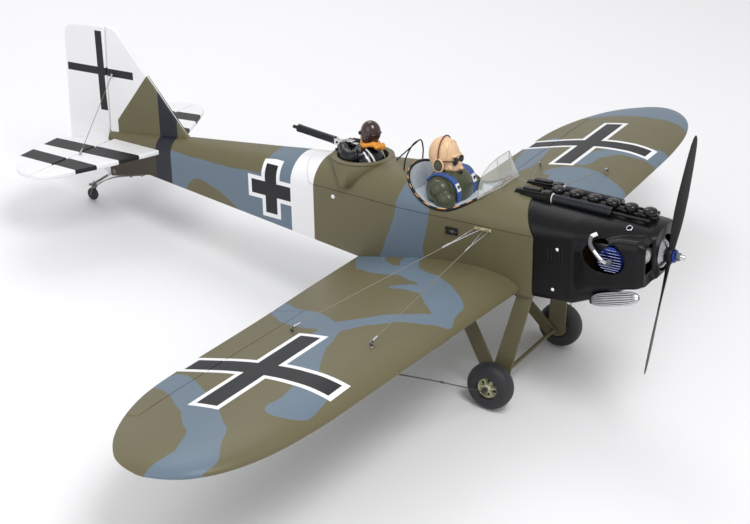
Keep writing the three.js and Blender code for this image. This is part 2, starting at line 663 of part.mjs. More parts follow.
const mountHalf = 30; // half-width of the engine mount's beams
add('crankcase', cut(join(
  box([-mountHalf, mountHalf], [-262, firewallY - gap], [34, 50]),
  turned([[0, -338.6], [11, -338.6], [15, -334], [24, -322], [24, -312], [19, -300], [0, -300]], 0, shaftZ),
  box([-20, 20], [-304, -258], [26, 60]),
), bar([0, -350, shaftZ], [0, -318, shaftZ], 4.4, 4.4, 16)), silver);
const cylinderFins = [-30, -40, -50].flatMap((x) => [[14, x], [18, x], [18, x - 4], [14, x - 4]]);
add('cylinder', turnedAcross([[0, -20.3], [17, -20.3], [17, -26], [14, -26], ...cylinderFins,
  [14, -58], [0, -58]], engineY, engineZ, 14), silver);
add('cylinder_head', turnedAcross([[0, -58.3], [headRadius, -58.3], [headRadius, -70], [15, -74], [0, -74]],
  engineY, engineZ), blueMetal);
add('plug_cap', join(
  bar([-74.3, engineY, engineZ], [-83, engineY, engineZ], 3.4, 3.4, 8),
  tube([[-82, engineY + 1, engineZ], [-84, engineY + 6, engineZ + 4], [-82, engineY + 19, engineZ + 17],
    [-76, engineY + 27, engineZ + 25], [-62, engineY + 23, engineZ + 32]], 3, 6, 12),
), silver);

// ---------- propeller and shaft ----------
const hubFrontY = -348.5;
const hubRearY = -339.1;
add('crankshaft', join(
  bar([0, -322, shaftZ], [0, -366, shaftZ], 4, 4, 12),
  bar([0, hubFrontY - 4.8, shaftZ], [0, hubFrontY - 11, shaftZ], 6.4, 5.6, 6),
), steel);
add('prop_washer', cut(bar([0, hubFrontY - gap, shaftZ], [0, hubFrontY - 4.5, shaftZ], 9.5, 9.5, 20),
  bar([0, -330, shaftZ], [0, -370, shaftZ], 4.3, 4.3, 12)), blueMetal);

function propBlade(direction) {
  const middle = (hubFrontY + hubRearY) / 2;
  // distance from the hub, chord, thickness and twist in degrees
  const stations = [[4, 12, 8, 58], [22, 17, 7, 48], [60, 27, 5, 30], [110, 27, 3.6, 19],
    [150, 21, 2.4, 14], [165, 13, 1.8, 13], [propRadius, 5, 1.2, 13]];
  const rings = stations.map(([reach, chord, thick, twist]) => Array.from({ length: 10 }, (_, i) => {
    const angle = (Math.PI * 2 * i) / 10;
    const turn = THREE.MathUtils.degToRad(twist);
    const [u, v] = [(chord / 2) * Math.cos(angle), (thick / 2) * Math.sin(angle)];
    return [direction * reach, middle + (u * Math.sin(turn) + v * Math.cos(turn)) * 0.8,
      direction * (u * Math.cos(turn) - v * Math.sin(turn))];
  }));
  return loft(rings);
}

const propeller = cut(join(bar([0, hubRearY, 0], [0, hubFrontY, 0], 11, 11, 24), propBlade(1), propBlade(-1))
  .intersect(box([-200, 200], [-352.5, hubRearY + 1.1], [-60, 60])),
bar([0, -330, 0], [0, -370, 0], 4.3, 4.3, 12)).rotate([0, -propAngle, 0]).translate([0, 0, shaftZ]);
add('propeller', propeller, black);

// ---------- main landing gear ----------
const legTop = { x: 60, z: bellyZ - gap };
const legFoot = { x: 98, z: -170 };
const legSlope = (legFoot.x - legTop.x) / (legTop.z - legFoot.z);

// A flat leg leaning outward; its outline lists [Y, Z] and it is drawn at a sideways offset.
function leg(side, points, offset) {
  const thickness = 3.6;
  const xAt = (z) => legTop.x + offset + (legTop.z - z) * legSlope;
  const face = (extra) => points.map(([y, z]) => [side * (xAt(z) + extra), y, z]);
  return loft([face(0), face(thickness)]);
}

const axleHole = bar([-160, axleY, axleZ], [160, axleY, axleZ], axleRadius + gap, axleRadius + gap, 10);
const frontLeg = [[-165, legTop.z], [-140, legTop.z], [-117, -160], [-118, -172], [-126, -177],
  [-136, -176], [-145, -168]];
const rearLeg = [[-38, legTop.z], [-13, legTop.z], [-112, -172], [-124, -175], [-135, -166]];
for (const [word, side] of sides) {
  add(`leg_front_${word}`, cut(leg(side, frontLeg, 0), axleHole), olive);
  add(`leg_rear_${word}`, cut(leg(side, rearLeg, -4.2), axleHole), olive);
}
add('axle', join(
  bar([-139, axleY, axleZ], [139, axleY, axleZ], axleRadius, axleRadius, 10),
  ...[-1, 1].flatMap((s) => [
    bar([s * 134.4, axleY, axleZ], [s * 137.4, axleY, axleZ], 4.4, 4.4, 10),
    bar([s * 101.3, axleY, axleZ], [s * 102.6, axleY, axleZ], 4.4, 4.4, 10),
  ]),
), steel);

// Tyre section: [radius, distance from the wheel's middle].
const halfWidth = wheelWidth / 2;
const tyreSection = [[16, -11], [26, -halfWidth], [33, -12], [wheelRadius, -4], [wheelRadius, 4],
  [33, 12], [26, halfWidth], [16, 11]];
const hubSection = [[axleRadius + gap, -15.5], [6, -15.5], [7, -11], [15.7, -10], [15.7, 10], [7, 11],
  [6, 15.5], [axleRadius + gap, 15.5]];
for (const [word, side] of sides) {
  const ring = (section, count) => turnedAcross([...section, section[0]]
    .map(([r, x]) => [r, x + side * wheelX]), axleY, axleZ, count);
  add(`tyre_${word}`, ring(tyreSection, 26), darkTyre);
  add(`hub_${word}`, ring(hubSection, 16), cream);
}

// ---------- tail wheel ----------
const steerPin = { y: 712, z: -44 };
const leaf = [[592, -2.6], [655, -17.2], [690, -33], [706, steerPin.z + 1], [719, steerPin.z],
  [719, steerPin.z - 2], [705, steerPin.z - 1], [688, -35.2], [653, -19.4], [592, -4.8]];
add('tail_bracket', cut(sideSlab(leaf, [-6, 6]),
  bar([0, steerPin.y, steerPin.z - 8], [0, steerPin.y, steerPin.z + 8], 1.8, 1.8, 12),
  outerBody.translate([0, 0, -gap])), steel);
add('tail_fork', join(
  bar([0, steerPin.y, steerPin.z - 6], [0, steerPin.y, steerPin.z + 6], 1.4, 1.4, 8),
  bar([0, steerPin.y, steerPin.z + 1.4], [0, steerPin.y, steerPin.z + 3.4], 4, 4, 8),
  box([-12, 12], [steerPin.y - 2, steerPin.y + 2], [steerPin.z + 1.6, steerPin.z + 3.2]),
  box([-5.4, 5.4], [steerPin.y - 2, steerPin.y + 3], [steerPin.z - 5.8, steerPin.z - 3]),
  ...[-5, 5].map((x) => bar([x, steerPin.y, steerPin.z - 4.4], [x, tailWheel.y, tailWheel.z], 1.3, 1.3, 6)),
  bar([-5.6, tailWheel.y, tailWheel.z], [5.6, tailWheel.y, tailWheel.z], 1.2, 1.2, 8),
), steel);
add('tail_wheel', turnedAcross([[1.5, -3.2], [5, -3.2], [9.5, -3], [tailWheel.radius, -1.6],
  [tailWheel.radius, 1.6], [9.5, 3], [5, 3.2], [1.5, 3.2], [1.5, -3.2]],
tailWheel.y, tailWheel.z, 18), darkTyre);

// ---------- rigging ----------
const wireRadius = 0.8;
const lugZ = 54.5;
function wingTopAt(x, y) {
  const plan = wingPlan.map(([distance, leading, trailing]) => ({ distance, leading, trailing }));
  const leading = read(plan.map((row) => [row.distance, row.leading]), x);
  const trailing = read(plan.map((row) => [row.distance, row.trailing]), x);
  const chord = trailing - leading;
  return wingBottomZ(x) + chord * read(aerofoilTop, (y - leading) / chord);
}

for (const [word, side] of sides) {
  const hooks = [[hook.aftY, -80], [hook.foreY, -94]];
  const bodies = [box([Math.min(side * 69.4, side * 71.4), Math.max(side * 69.4, side * 71.4)], [-101, -74],
    [lugZ - 2.5, lugZ + 2.5])];
  for (const [y, lugY] of hooks) {
    const eyeZ = wingTopAt(hook.x, y) + 6;
    const eye = [side * hook.x, y, eyeZ];
    const start = [side * 71, lugY, lugZ];
    const joint = start.map((value, i) => value + (eye[i] - value) * 0.17);
    bodies.push(bar(joint, eye, wireRadius, wireRadius, 6));
    for (const shift of [-5, 5]) {
      bodies.push(bar([start[0], lugY + shift, lugZ], joint, wireRadius, wireRadius, 6));
    }
    bodies.push(bar([eye[0], y, wingTopAt(hook.x, y) + gap], [eye[0], y, eyeZ + 1], 1.6, 1.6, 6));
  }
  add(`top_rigging_${word}`, join(...bodies), brass);

  const collar = [side * 140.6, axleY, axleZ];
  const underHook = [side * hook.x, hook.foreY, wingBottomZ(hook.x) - gap];
  const split = collar.map((value, i) => value + (underHook[i] - value) * 0.4);
  const fork = [-6, 6].flatMap((shift) => {
    const end = [underHook[0], underHook[1] + shift, underHook[2]];
    return [bar(split, [end[0], end[1], end[2] - 4], wireRadius, wireRadius, 6),
      bar([end[0], end[1], end[2] - 5], end, 1.6, 1.6, 6)];
  });
  add(`under_rigging_${word}`, join(bar(collar, split, wireRadius, wireRadius, 6), ...fork,
    bar([side * 139.3, axleY, axleZ], [side * 141.5, axleY, axleZ], 3.2, 3.2, 8)), steel);

  const finEnd = [side * (tailThickness / 2 + gap + 0.8), 645, 165];
  const planeEnd = [side * 105, 640, tailplaneZ + tailThickness / 2 + gap + 0.8];
  add(`tail_brace_${word}`, bar(finEnd, planeEnd, wireRadius, wireRadius, 6), steel);
}

// ---------- switch on the right side ----------
const plate = [-71.4, -69.4];
add('switch_plate', cut(box(plate, [-46, -26], [36.5, 47.5]), box([-75, -60], [-41.5, -30.5], [39.8, 44.2])),
  plastic);
add('switch_slider', join(box([-72.6, -69.5], [-41, -37], [40.2, 43.8]),
  box([-73.8, -71.8], [-40, -38], [40.4, 43.6])), black);

// ---------- radio gear, fuel tank and battery ----------
add('fuel_tank', join(box([-28, 28], [-152, -84], [-12, 32]),
  bar([0, -158, 10], [0, -150, 10], 8, 8, 14)), white);
add('battery', box([-26, 26], [-40, 0], [-33, -16]), blueMetal);
const trayPlan = [[-65.6, 14], [65.6, 14], [65.6, 50], [61.3, 96], [-61.3, 96], [-65.6, 50]];
add('servo_tray', cut(planSlab(trayPlan, [0, 3]), box([-34.6, -13.4], [30, 72], [-4, 8]),
  box([13.4, 34.6], [30, 72], [-4, 8])), plywood);
for (const [word, x] of [['rudder', -24], ['elevator', 24]]) {
  add(`${word}_servo`, join(
    box([x - 10, x + 10], [31, 71], [-22, 14]),
    box([x - 10, x + 10], [24, 78], [3.3, 5.8]),
    bar([x, 42, 13], [x, 42, 18], 4, 4, 12),
    box([x - 16, x + 16], [39.5, 44.5], [17, 19.5]),
  ), plastic);
}

// ---------- standing attitude ----------
airframe.rotation.x = -THREE.MathUtils.degToRad(pitch);
airframe.position.set(0, centreShiftY, wheelbaseLift);

export default part;
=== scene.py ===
"""Looks of a radio-controlled two-seat warplane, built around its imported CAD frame.

Shapes are drawn in millimetres with the airframe level: X is the span (left wing +X), the nose
points to -Y and Z is up. Meshes and paints are in metres, and STAND sets each piece on its wheels.
"""
from math import copysign, cos, hypot, pi, radians, sin, sqrt, tan, tau

import bmesh
import bpy
from mathutils import Matrix, Vector


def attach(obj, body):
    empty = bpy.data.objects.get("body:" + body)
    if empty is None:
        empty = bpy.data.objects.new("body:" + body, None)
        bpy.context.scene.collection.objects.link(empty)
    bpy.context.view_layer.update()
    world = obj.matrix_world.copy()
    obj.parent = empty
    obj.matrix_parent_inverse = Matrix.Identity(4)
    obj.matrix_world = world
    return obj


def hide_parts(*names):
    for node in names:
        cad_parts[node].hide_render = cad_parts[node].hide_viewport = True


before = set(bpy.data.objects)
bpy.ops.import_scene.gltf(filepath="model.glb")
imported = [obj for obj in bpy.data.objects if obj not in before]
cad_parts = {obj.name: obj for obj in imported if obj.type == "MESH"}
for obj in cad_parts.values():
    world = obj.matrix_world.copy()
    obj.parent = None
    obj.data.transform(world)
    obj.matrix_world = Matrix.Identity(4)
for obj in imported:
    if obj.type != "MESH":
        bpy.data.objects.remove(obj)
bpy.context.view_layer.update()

# ---------- driving dimensions, in millimetres ----------
MM = 0.001  # metres in a millimetre
PITCH = radians(8.514)  # nose-up angle on the wheels
STAND = Matrix.Translation((0, -0.20676, 0.17846)) @ Matrix.Rotation(-PITCH, 4, "X")
HALF_SPAN = 765
BODY_HALF = 69
SKIN = 3
GAP = 0.3
JOINT_Y, JOINT_TOP_Y = -166, -142  # cowl joint, which leans back above the seam
SEAM_FRONT_Z, SEAM_REAR_Z, HATCH_REAR_Y = 57, 63, 222
HATCH_HOLLOW = (-137, 212)
OVER_DECK, PAST_TAIL = 160, 700
TAIL_Y = 660
BELLY_Z = -37.5
NOSE_Y = -336
SHAFT_Z = 42
AXLE = Vector((0, -128.3, -163.8))
WHEEL_X = 118.4
TAIL_WHEEL = Vector((0, 717, -62))
STEER_PIN = Vector((0, 712, -44))
DIHEDRAL = 0.0293
AILERON_HINGE_Y, AILERON_INNER, AILERON_OUTER = 70, 300, 655
HOOK_X, HOOK_AFT, HOOK_FORE = 376, 36.6, -87.5
SERVO_X, SERVO_ARM_X = 466, 452
TAIL_PLANE_Z = 50
ELEVATOR_HINGE_Y = 650
TAIL_THICK = 8
COCKPIT_Y, COCKPIT_HALF_X, COCKPIT_HALF_Y, COCKPIT_POWER = -12, 67, 75, 2.4
PIT_Y, PIT_RIM_Z, PIT_OUTER, PIT_INNER = 157, 102.5, 49, 42
FLOOR_Z = 66.5
GUN_X, GUN_Z = 18.5, 101.5
PROP_ANGLE = radians(65)  # left blade above level
ENGINE_Y, ENGINE_Z, HEAD_RADIUS = -284, 47, 18.5
SIDES = (("right", -1), ("left", 1))


# ---------- shader kit ----------
def colour(red, green, blue):
    """Linear colour from 0 to 255 screen values."""
    def linear(value):
        value /= 255
        return value / 12.92 if value <= 0.04045 else ((value + 0.055) / 1.055) ** 2.4
    return (linear(red), linear(green), linear(blue), 1.0)


class Field:
    """A number that varies over a surface, as a chain of math nodes."""

    def __init__(self, tree, socket):
        self.tree, self.socket = tree, socket

    def math(self, operation, *others, clamp=False):
        node = self.tree.nodes.new("ShaderNodeMath")
        node.operation, node.use_clamp = operation, clamp
        for place, value in enumerate((self, *others)):
            if isinstance(value, Field):
                self.tree.links.new(value.socket, node.inputs[place])
            else:
                node.inputs[place].default_value = value
        return Field(self.tree, node.outputs[0])

    def __add__(self, other):
        return self.math("ADD", other)

    def __sub__(self, other):
        return self.math("SUBTRACT", other)

    def __mul__(self, other):
        return self.math("MULTIPLY", other)

    def __abs__(self):
        return self.math("ABSOLUTE")

    def __and__(self, other):
        return self.math("MULTIPLY", other)

    def __or__(self, other):
        return self.math("MAXIMUM", other)

    def __invert__(self):
        return (self * -1.0) + 1.0

    def lower(self, other):
        return self.math("MINIMUM", other)

    def below(self, limit, soft=0.0003):
        """1 where the field is under the limit, 0 where it is over."""
        return self.math("MULTIPLY_ADD", -1 / soft, limit / soft + 0.5, clamp=True)

    def above(self, limit, soft=0.0003):
        return self.math("MULTIPLY_ADD", 1 / soft, 0.5 - limit / soft, clamp=True)

    def between(self, low, high, soft=0.0003):
        return self.above(low, soft) & self.below(high, soft)


class Paint:
    """One procedural material on a Principled shader."""

    def __init__(self, name, **constants):
        self.material = bpy.data.materials.new(name)
        self.material.use_nodes = True
        self.tree = self.material.node_tree
        self.shader = self.tree.nodes["Principled BSDF"]
        for key, value in constants.items():
            self.shader.inputs[key.replace("_", " ").title().replace("Ior", "IOR")].default_value = value
        self.place = self.tree.nodes.new("ShaderNodeTexCoord").outputs["Object"]
        parts = self.tree.nodes.new("ShaderNodeSeparateXYZ")
        self.tree.links.new(self.place, parts.inputs[0])
        self.x, self.y, self.z = (Field(self.tree, parts.outputs[i]) for i in range(3))

    def vector(self, operation, first, second, output="Vector"):
        node = self.tree.nodes.new("ShaderNodeVectorMath")
        node.operation = operation
        for place, value in enumerate((first, second)):
            socket = node.inputs["Scale"] if operation == "SCALE" and place else node.inputs[place]
            if isinstance(value, Field):
                self.tree.links.new(value.socket, socket)
            else:
                socket.default_value = value
        return Field(self.tree, node.outputs[output])

    def plan(self, across, along, wander=0.0):
        """A flat position made of two fields, with wavering edges."""
        node = self.tree.nodes.new("ShaderNodeCombineXYZ")
        self.tree.links.new(across.socket, node.inputs[0])
        self.tree.links.new(along.socket, node.inputs[1])
        flat = Field(self.tree, node.outputs[0])
        if not wander:
            return flat
        texture = self.texture("ShaderNodeTexNoise", Scale=16.0, Detail=1.0)
        self.tree.links.new(flat.socket, texture.inputs["Vector"])
        centred = self.vector("SUBTRACT", Field(self.tree, texture.outputs["Color"]), (0.5, 0.5, 0.5))
        moved = self.vector("ADD", flat, self.vector("SCALE", centred, wander))
        return self.vector("MULTIPLY", moved, (1, 1, 0))

    def texture(self, kind, **inputs):
        node = self.tree.nodes.new(kind)
        self.tree.links.new(self.place, node.inputs["Vector"])
        for key, value in inputs.items():
            node.inputs[key].default_value = value
        return node

    def noise(self, scale, detail=3.0, rough=0.5, stretch=None):
        node = self.texture("ShaderNodeTexNoise", Scale=scale, Detail=detail, Roughness=rough)
        if stretch:
            self.tree.links.new(self.vector("MULTIPLY", Field(self.tree, self.place), stretch).socket,
                node.inputs["Vector"])
        return Field(self.tree, node.outputs["Fac"])

    def strokes(self, flat, strokes):
        """Distance outside a set of thick strokes; each lists (u, v, radius) points in millimetres."""
        nearest = None
        for stroke in strokes:
            stroke = [[n * MM for n in point] for point in stroke]
            for (u0, v0, r0), (u1, v1, r1) in zip(stroke, stroke[1:]):
                run = Vector((u1 - u0, v1 - v0, 0))
                offset = self.vector("SUBTRACT", flat, (u0, v0, 0))
                share = self.vector("DOT_PRODUCT", offset, tuple(run / run.length_squared), "Value")
                share = share.math("ADD", 0.0, clamp=True)
                foot = self.vector("MULTIPLY", self.vector("SCALE", (1, 1, 1), share), tuple(run))
                distance = self.vector("DISTANCE", offset, foot, "Value")
                distance = distance - share.math("MULTIPLY_ADD", r1 - r0, r0)
                nearest = distance if nearest is None else nearest.lower(distance)
        return nearest

    def mix(self, mask, under, over):
        node = self.tree.nodes.new("ShaderNodeMix")
        node.data_type = "RGBA"
        self.tree.links.new(mask.socket, node.inputs[0])
        for place, value in ((6, under), (7, over)):
            if isinstance(value, tuple):
                node.inputs[place].default_value = value
            else:
                self.tree.links.new(value, node.inputs[place])
        return node.outputs[2]

    def mottled(self, base, spread=0.12, scale=18.0):
        """The base colour, drifting a little darker and lighter."""
        dark = tuple(c * (1 - spread) for c in base[:3]) + (1.0,)
        light = tuple(min(1.0, c * (1 + spread)) for c in base[:3]) + (1.0,)
        return self.mix(self.noise(scale, 4.0, 0.6), dark, light)

    def finish(self, base, rough=(0.4, 0.5), rough_scale=25.0, height=None, strength=0.1, depth=0.001):
        self.tree.links.new(base, self.shader.inputs["Base Color"])
        low, high = rough
        spread = self.noise(rough_scale, 4.0).math("MULTIPLY_ADD", high - low, low)
        self.tree.links.new(spread.socket, self.shader.inputs["Roughness"])
        if height is not None:
            bump = self.tree.nodes.new("ShaderNodeBump")
            bump.inputs["Strength"].default_value = strength
            bump.inputs["Distance"].default_value = depth
            self.tree.links.new(height.socket, bump.inputs["Height"])
            self.tree.links.new(bump.outputs[0], self.shader.inputs["Normal"])
        return self.material


# ---------- paints ----------
OLIVE = colour(103, 97, 71)
BLUE_GREY = colour(101, 117, 132)
WHITE = colour(236, 236, 238)
INK = colour(24, 25, 29)
DARK_OLIVE = colour(66, 58, 44)
BAND = colour(33, 36, 46)


def plain(name, base, rough=(0.4, 0.55), spread=0.12, scale=30.0, bumps=220.0, strength=0.08, **constants):
    """A paint of one mottled colour with a fine grain."""
    paint = Paint(name, **constants)
    return paint.finish(paint.mottled(base, spread, scale), rough, height=paint.noise(bumps, 3.0),
        strength=strength, depth=0.0006)


def camouflage(paint, flat, patches):
    """Two-colour film with slightly drifting shades, before any marks."""
    blue = paint.strokes(flat, patches).below(0.0, 0.0008)
    return paint.mix(blue, paint.mottled(OLIVE, 0.09, 9.0), paint.mottled(BLUE_GREY, 0.06, 9.0))


def film_height(paint):
    """Slight ripples of heat-shrunk film."""
    return paint.noise(14.0, 2.0) * 0.7 + paint.noise(420.0, 2.0) * 0.12


def wing_paint(word, side, patches):
    paint = Paint(f"wing_film_{word}", specular_ior_level=0.32)
    out = paint.x * float(side)
    skin = camouflage(paint, paint.plan(out, paint.y, 0.02), patches)
    cross_out, cross_span, cross_chord, cross_arm = 0.4985, 0.1195, 0.1185, 0.0232
    u, v = abs(out - cross_out), abs(paint.y)

    def cross(inset):
        arm = u.below(cross_span - inset) & v.below(cross_arm - inset)
        return arm | (u.below(cross_arm - inset) & v.below(cross_chord - inset))
    topside = paint.z - abs(paint.x) * DIHEDRAL
    upper = topside.above(-0.0388, 0.0006)
    skin = paint.mix(cross(0.0) & upper, skin, WHITE)
    skin = paint.mix(cross(0.0076) & upper, skin, paint.mottled(INK, 0.2, 30.0))
    return paint.finish(skin, (0.36, 0.46), height=film_height(paint), strength=0.12, depth=0.0015)


RIGHT_PATCHES = (
    ((60, 105, 26), (100, 85, 26), (122, 50, 20), (128, 5, 16),
     (150, -45, 22), (205, -95, 26), (248, -120, 13)),
    ((75, 30, 12), (120, 5, 14)),
    ((192, -8, 6), (184, -50, 14)),
    ((250, -120, 13), (283, -78, 14), (315, -42, 14), (350, -8, 18)),
    ((350, -5, 16), (328, 52, 26), (305, 98, 20), (285, 125, 14)),
    ((360, -10, 16), (420, -20, 24), (455, -40, 22), (485, -68, 12)),
    ((498, -80, 18), (528, -92, 24), (572, -94, 24)),
    ((555, 105, 22), (580, 55, 20), (618, 8, 20), (665, -40, 22),
     (715, -68, 24), (765, -55, 26)),
)
LEFT_PATCHES = (
    ((75, 70, 30), (120, 50, 26), (160, 75, 14)),
    ((520, 82, 16), (480, 92, 24), (430, 80, 24), (370, 68, 18),
     (340, 70, 10)),
    ((345, -10, 22), (352, -45, 26), (335, -90, 24), (318, -130, 22)),
    ((320, -30, 24), (300, -80, 32), (285, -120, 36), (290, -160, 40)),
    ((400, -33, 14), (443, -42, 16), (474, -70, 20), (500, -130, 32)),
    ((690, 66, 26), (706, -5, 42), (712, -60, 46), (690, -120, 30)),
    ((740, 30, 34), (750, -60, 34)),
)
WING_PAINTS = {"right": wing_paint("right", -1, RIGHT_PATCHES), "left": wing_paint("left", 1, LEFT_PATCHES)}

BODY_PATCHES = (
    ((18, 115, 22), (26, 85, 26), (34, 45, 29), (42, 10, 31),
     (50, -30, 42)),
)


def body_paint(name):
    """Fuselage film: camouflage, white band, cross and the dark band before the tail."""
    paint = Paint(name, specular_ior_level=0.35)
    y, z = paint.y, paint.z
    flat = paint.plan(y, z, 0.012)
    skin = camouflage(paint, flat, BODY_PATCHES)
    parts = paint.tree.nodes.new("ShaderNodeSeparateXYZ")
    paint.tree.links.new(flat.socket, parts.inputs[0])
    wavy_y, wavy_z = (Field(paint.tree, parts.outputs[i]) for i in range(2))
    aft = y.above(0.238)
    top_olive = (wavy_y + wavy_z * 0.45).above(0.350, 0.0008) & wavy_z.above(0.0585, 0.0008)
    low_olive = paint.strokes(flat, (((455, -5, 26), (420, -18, 30), (360, -52, 30)),))
    olive = top_olive | low_olive.below(0.0, 0.0008) | y.above(0.5325)
    skin = paint.mix(aft & ~olive, skin, paint.mottled(BLUE_GREY, 0.06, 9.0))
    skin = paint.mix(aft & olive, skin, paint.mottled(OLIVE, 0.09, 9.0))
    skin = paint.mix(y.between(0.215, 0.260), skin, WHITE)
    cross_y, cross_z, cross_reach, cross_arm = 0.3005, 0.036, 0.0465, 0.0185
    u, v = abs(y - cross_y), abs(z - cross_z)
    sideways = abs(paint.x).above(0.030)

    def cross(inset):
        long, short = cross_reach - inset, cross_arm - inset
        return ((u.below(long) & v.below(short)) | (u.below(short) & v.below(long))) & sideways
    skin = paint.mix(cross(0.0), skin, WHITE)
    skin = paint.mix(cross(0.0068), skin, paint.mottled(INK, 0.2, 30.0))
    skin = paint.mix(y.between(0.515, 0.550), skin, paint.mottled(BAND, 0.15, 30.0))
    skin = paint.mix(y.above(0.550) & z.below(0.046), skin, paint.mottled(DARK_OLIVE, 0.1, 20.0))
    return paint.finish(skin, (0.40, 0.52), height=film_height(paint), strength=0.12, depth=0.0015)


def tail_paint(name, marks):
    """White film with marks drawn by a function of the paint."""
    paint = Paint(name, specular_ior_level=0.35)
    skin = paint.mottled(WHITE, 0.03, 9.0)
    for mask, shade in marks(paint):
        skin = paint.mix(mask, skin, paint.mottled(shade, 0.12, 25.0))
    return paint.finish(skin, (0.36, 0.46), height=film_height(paint), strength=0.1, depth=0.0012)


def fin_marks(paint):
    y, z = paint.y, paint.z
    patch = (y * 1.24 + z).below(0.8815) & (y * 1.211 - z).above(0.5185) & y.below(0.6415)
    band = patch & y.between(0.515, 0.552)
    bars = (abs(y - 0.670).below(0.0072) & z.between(0.099, 0.236))
    bars = bars | (abs(z - 0.167).below(0.0066) & y.between(0.601, 0.743))
    return ((patch, OLIVE), (band, BAND), (bars, INK))


def stabiliser_marks(paint):
    out, run = abs(paint.x), (paint.y - 0.56)
    first = out + run * 0.02
    second = out + run * 0.08
    stripes = first.between(0.058, 0.094) | second.between(0.132, 0.167)
    return ((stripes, INK),)


FILM_BODY = body_paint("body_film")
FILM_FIN = tail_paint("fin_film", fin_marks)
FILM_TAIL = tail_paint("tail_film", stabiliser_marks)
COWL = plain("cowl_black", colour(15, 15, 18), (0.24, 0.36), 0.2, 12.0, 60.0, 0.05, specular_ior_level=0.22)
BLACK = plain("gloss_black", colour(12, 12, 13), (0.16, 0.28), 0.25, 60.0, 300.0, 0.08,
    specular_ior_level=0.45)
SATIN_BLACK = plain("satin_black", colour(20, 20, 21), (0.4, 0.55), 0.25, 90.0, 500.0, 0.15,
    specular_ior_level=0.3)
OLIVE_WOOD = plain("painted_legs", colour(94, 88, 62), (0.45, 0.6), 0.1, 25.0, 260.0, 0.12)
OLIVE_PART = plain("olive_moulding", OLIVE, (0.42, 0.55), 0.08, 25.0, 300.0, 0.1)
RUBBER = plain("tyre_rubber", colour(44, 44, 47), (0.55, 0.7), 0.18, 40.0, 700.0, 0.3)
CREAM = plain("hub_moulding", colour(202, 201, 168), (0.4, 0.55), 0.12, 120.0, 400.0, 0.15)
SILVER = plain("cast_metal", colour(176, 177, 180), (0.28, 0.45), 0.12, 60.0, 500.0, 0.2, metallic=1.0)
POLISHED = plain("polished_metal", colour(204, 205, 209), (0.12, 0.25), 0.08, 50.0, 300.0, 0.06,
    metallic=1.0)
STEEL = plain("steel_wire", colour(128, 127, 124), (0.25, 0.4), 0.15, 90.0, 700.0, 0.12, metallic=1.0)
BRASS = plain("brass_plate", colour(211, 199, 161), (0.25, 0.4), 0.12, 90.0, 500.0, 0.1, metallic=1.0)
CABLE = plain("rigging_cable", colour(128, 125, 114), (0.35, 0.5), 0.1, 300.0, 900.0, 0.3, metallic=0.4)
DARK_CABLE = plain("dark_cable", colour(66, 62, 56), (0.35, 0.5), 0.15, 300.0, 900.0, 0.3, metallic=0.3)
BLUE_METAL = plain("blue_anodised", colour(42, 62, 138), (0.22, 0.36), 0.2, 60.0, 500.0, 0.1, metallic=0.85)
GUN_METAL = plain("gun_metal", colour(40, 42, 48), (0.3, 0.45), 0.2, 90.0, 500.0, 0.15, metallic=0.6)
CASTING = plain("pale_casting", colour(196, 197, 199), (0.4, 0.55), 0.12, 60.0, 500.0, 0.2, metallic=0.2)
GREY_PLASTIC = plain("grey_plastic", colour(92, 94, 98), (0.4, 0.55), 0.12, 90.0, 400.0, 0.1)
WHITE_PLASTIC = plain("white_plastic", colour(236, 236, 238), (0.3, 0.45), 0.05, 90.0, 300.0, 0.06)
LINER = plain("cockpit_lining", colour(206, 215, 224), (0.4, 0.55), 0.07, 30.0, 200.0, 0.06)
ORANGE = plain("orange_lacing", colour(232, 160, 84), (0.5, 0.65), 0.1, 400.0, 1500.0, 0.4)
SKIN_TONE = plain("figure_skin", colour(226, 188, 148), (0.36, 0.5), 0.06, 40.0, 260.0, 0.08,
    coat_weight=0.2)
SUIT = plain("pilot_suit", colour(66, 70, 48), (0.22, 0.36), 0.15, 60.0, 160.0, 0.35)
HARNESS = plain("blue_webbing", colour(52, 84, 150), (0.5, 0.65), 0.12, 300.0, 1400.0, 0.35)
HELMET = plain("brown_leather", colour(50, 26, 22), (0.16, 0.3), 0.2, 60.0, 200.0, 0.12, coat_weight=0.5)
SCARF = plain("orange_scarf", colour(228, 150, 52), (0.4, 0.55), 0.12, 80.0, 500.0, 0.2)
RED_BROWN = plain("headset_band", colour(112, 48, 36), (0.35, 0.5), 0.12, 200.0, 600.0, 0.15)


def plywood_paint():
    paint = Paint("plywood")
    grain = paint.noise(40.0, 5.0, 0.65, stretch=(1.0, 12.0, 12.0))
    base = paint.mix(grain, colour(150, 112, 70), colour(214, 178, 128))
    return paint.finish(base, (0.5, 0.68), height=grain, strength=0.2, depth=0.0005)


def clear_paint():
    paint = Paint("clear_sheet", alpha=0.28, specular_ior_level=0.8)
    return paint.finish(paint.mottled(colour(206, 208, 204), 0.04, 20.0), (0.03, 0.08))


def jacket_paint():
    """Dark flying jacket with two white stripes down each side of the back."""
    paint = Paint("dark_jacket", specular_ior_level=0.4)
    out = abs(paint.x)
    back = paint.y.below(PIT_Y * MM - 0.014) & paint.z.between(0.092, 0.1225)
    stripes = (out.between(0.0130, 0.0158) | out.between(0.0200, 0.0226)) & back
    skin = paint.mix(stripes, paint.mottled(colour(14, 16, 24), 0.3, 60.0), colour(224, 225, 228))
    return paint.finish(skin, (0.16, 0.3), height=paint.noise(110.0, 3.0), strength=0.35, depth=0.001)


PLYWOOD = plywood_paint()
CLEAR = clear_paint()
JACKET = jacket_paint()
# pale, half-clear paint: a painted highlight for the light caught along the windshield's edges and folds
CLEAR_EDGE_HIGHLIGHT = plain("clear_edge_highlight", colour(176, 178, 172), (0.15, 0.3), 0.08, 60.0, 300.0, 0.05, alpha=0.7)


# ---------- shape kit: a shape is (points, faces) ----------
def turns(count):
    """Angles of even steps round a circle."""
    return [tau * k / count for k in range(count)]


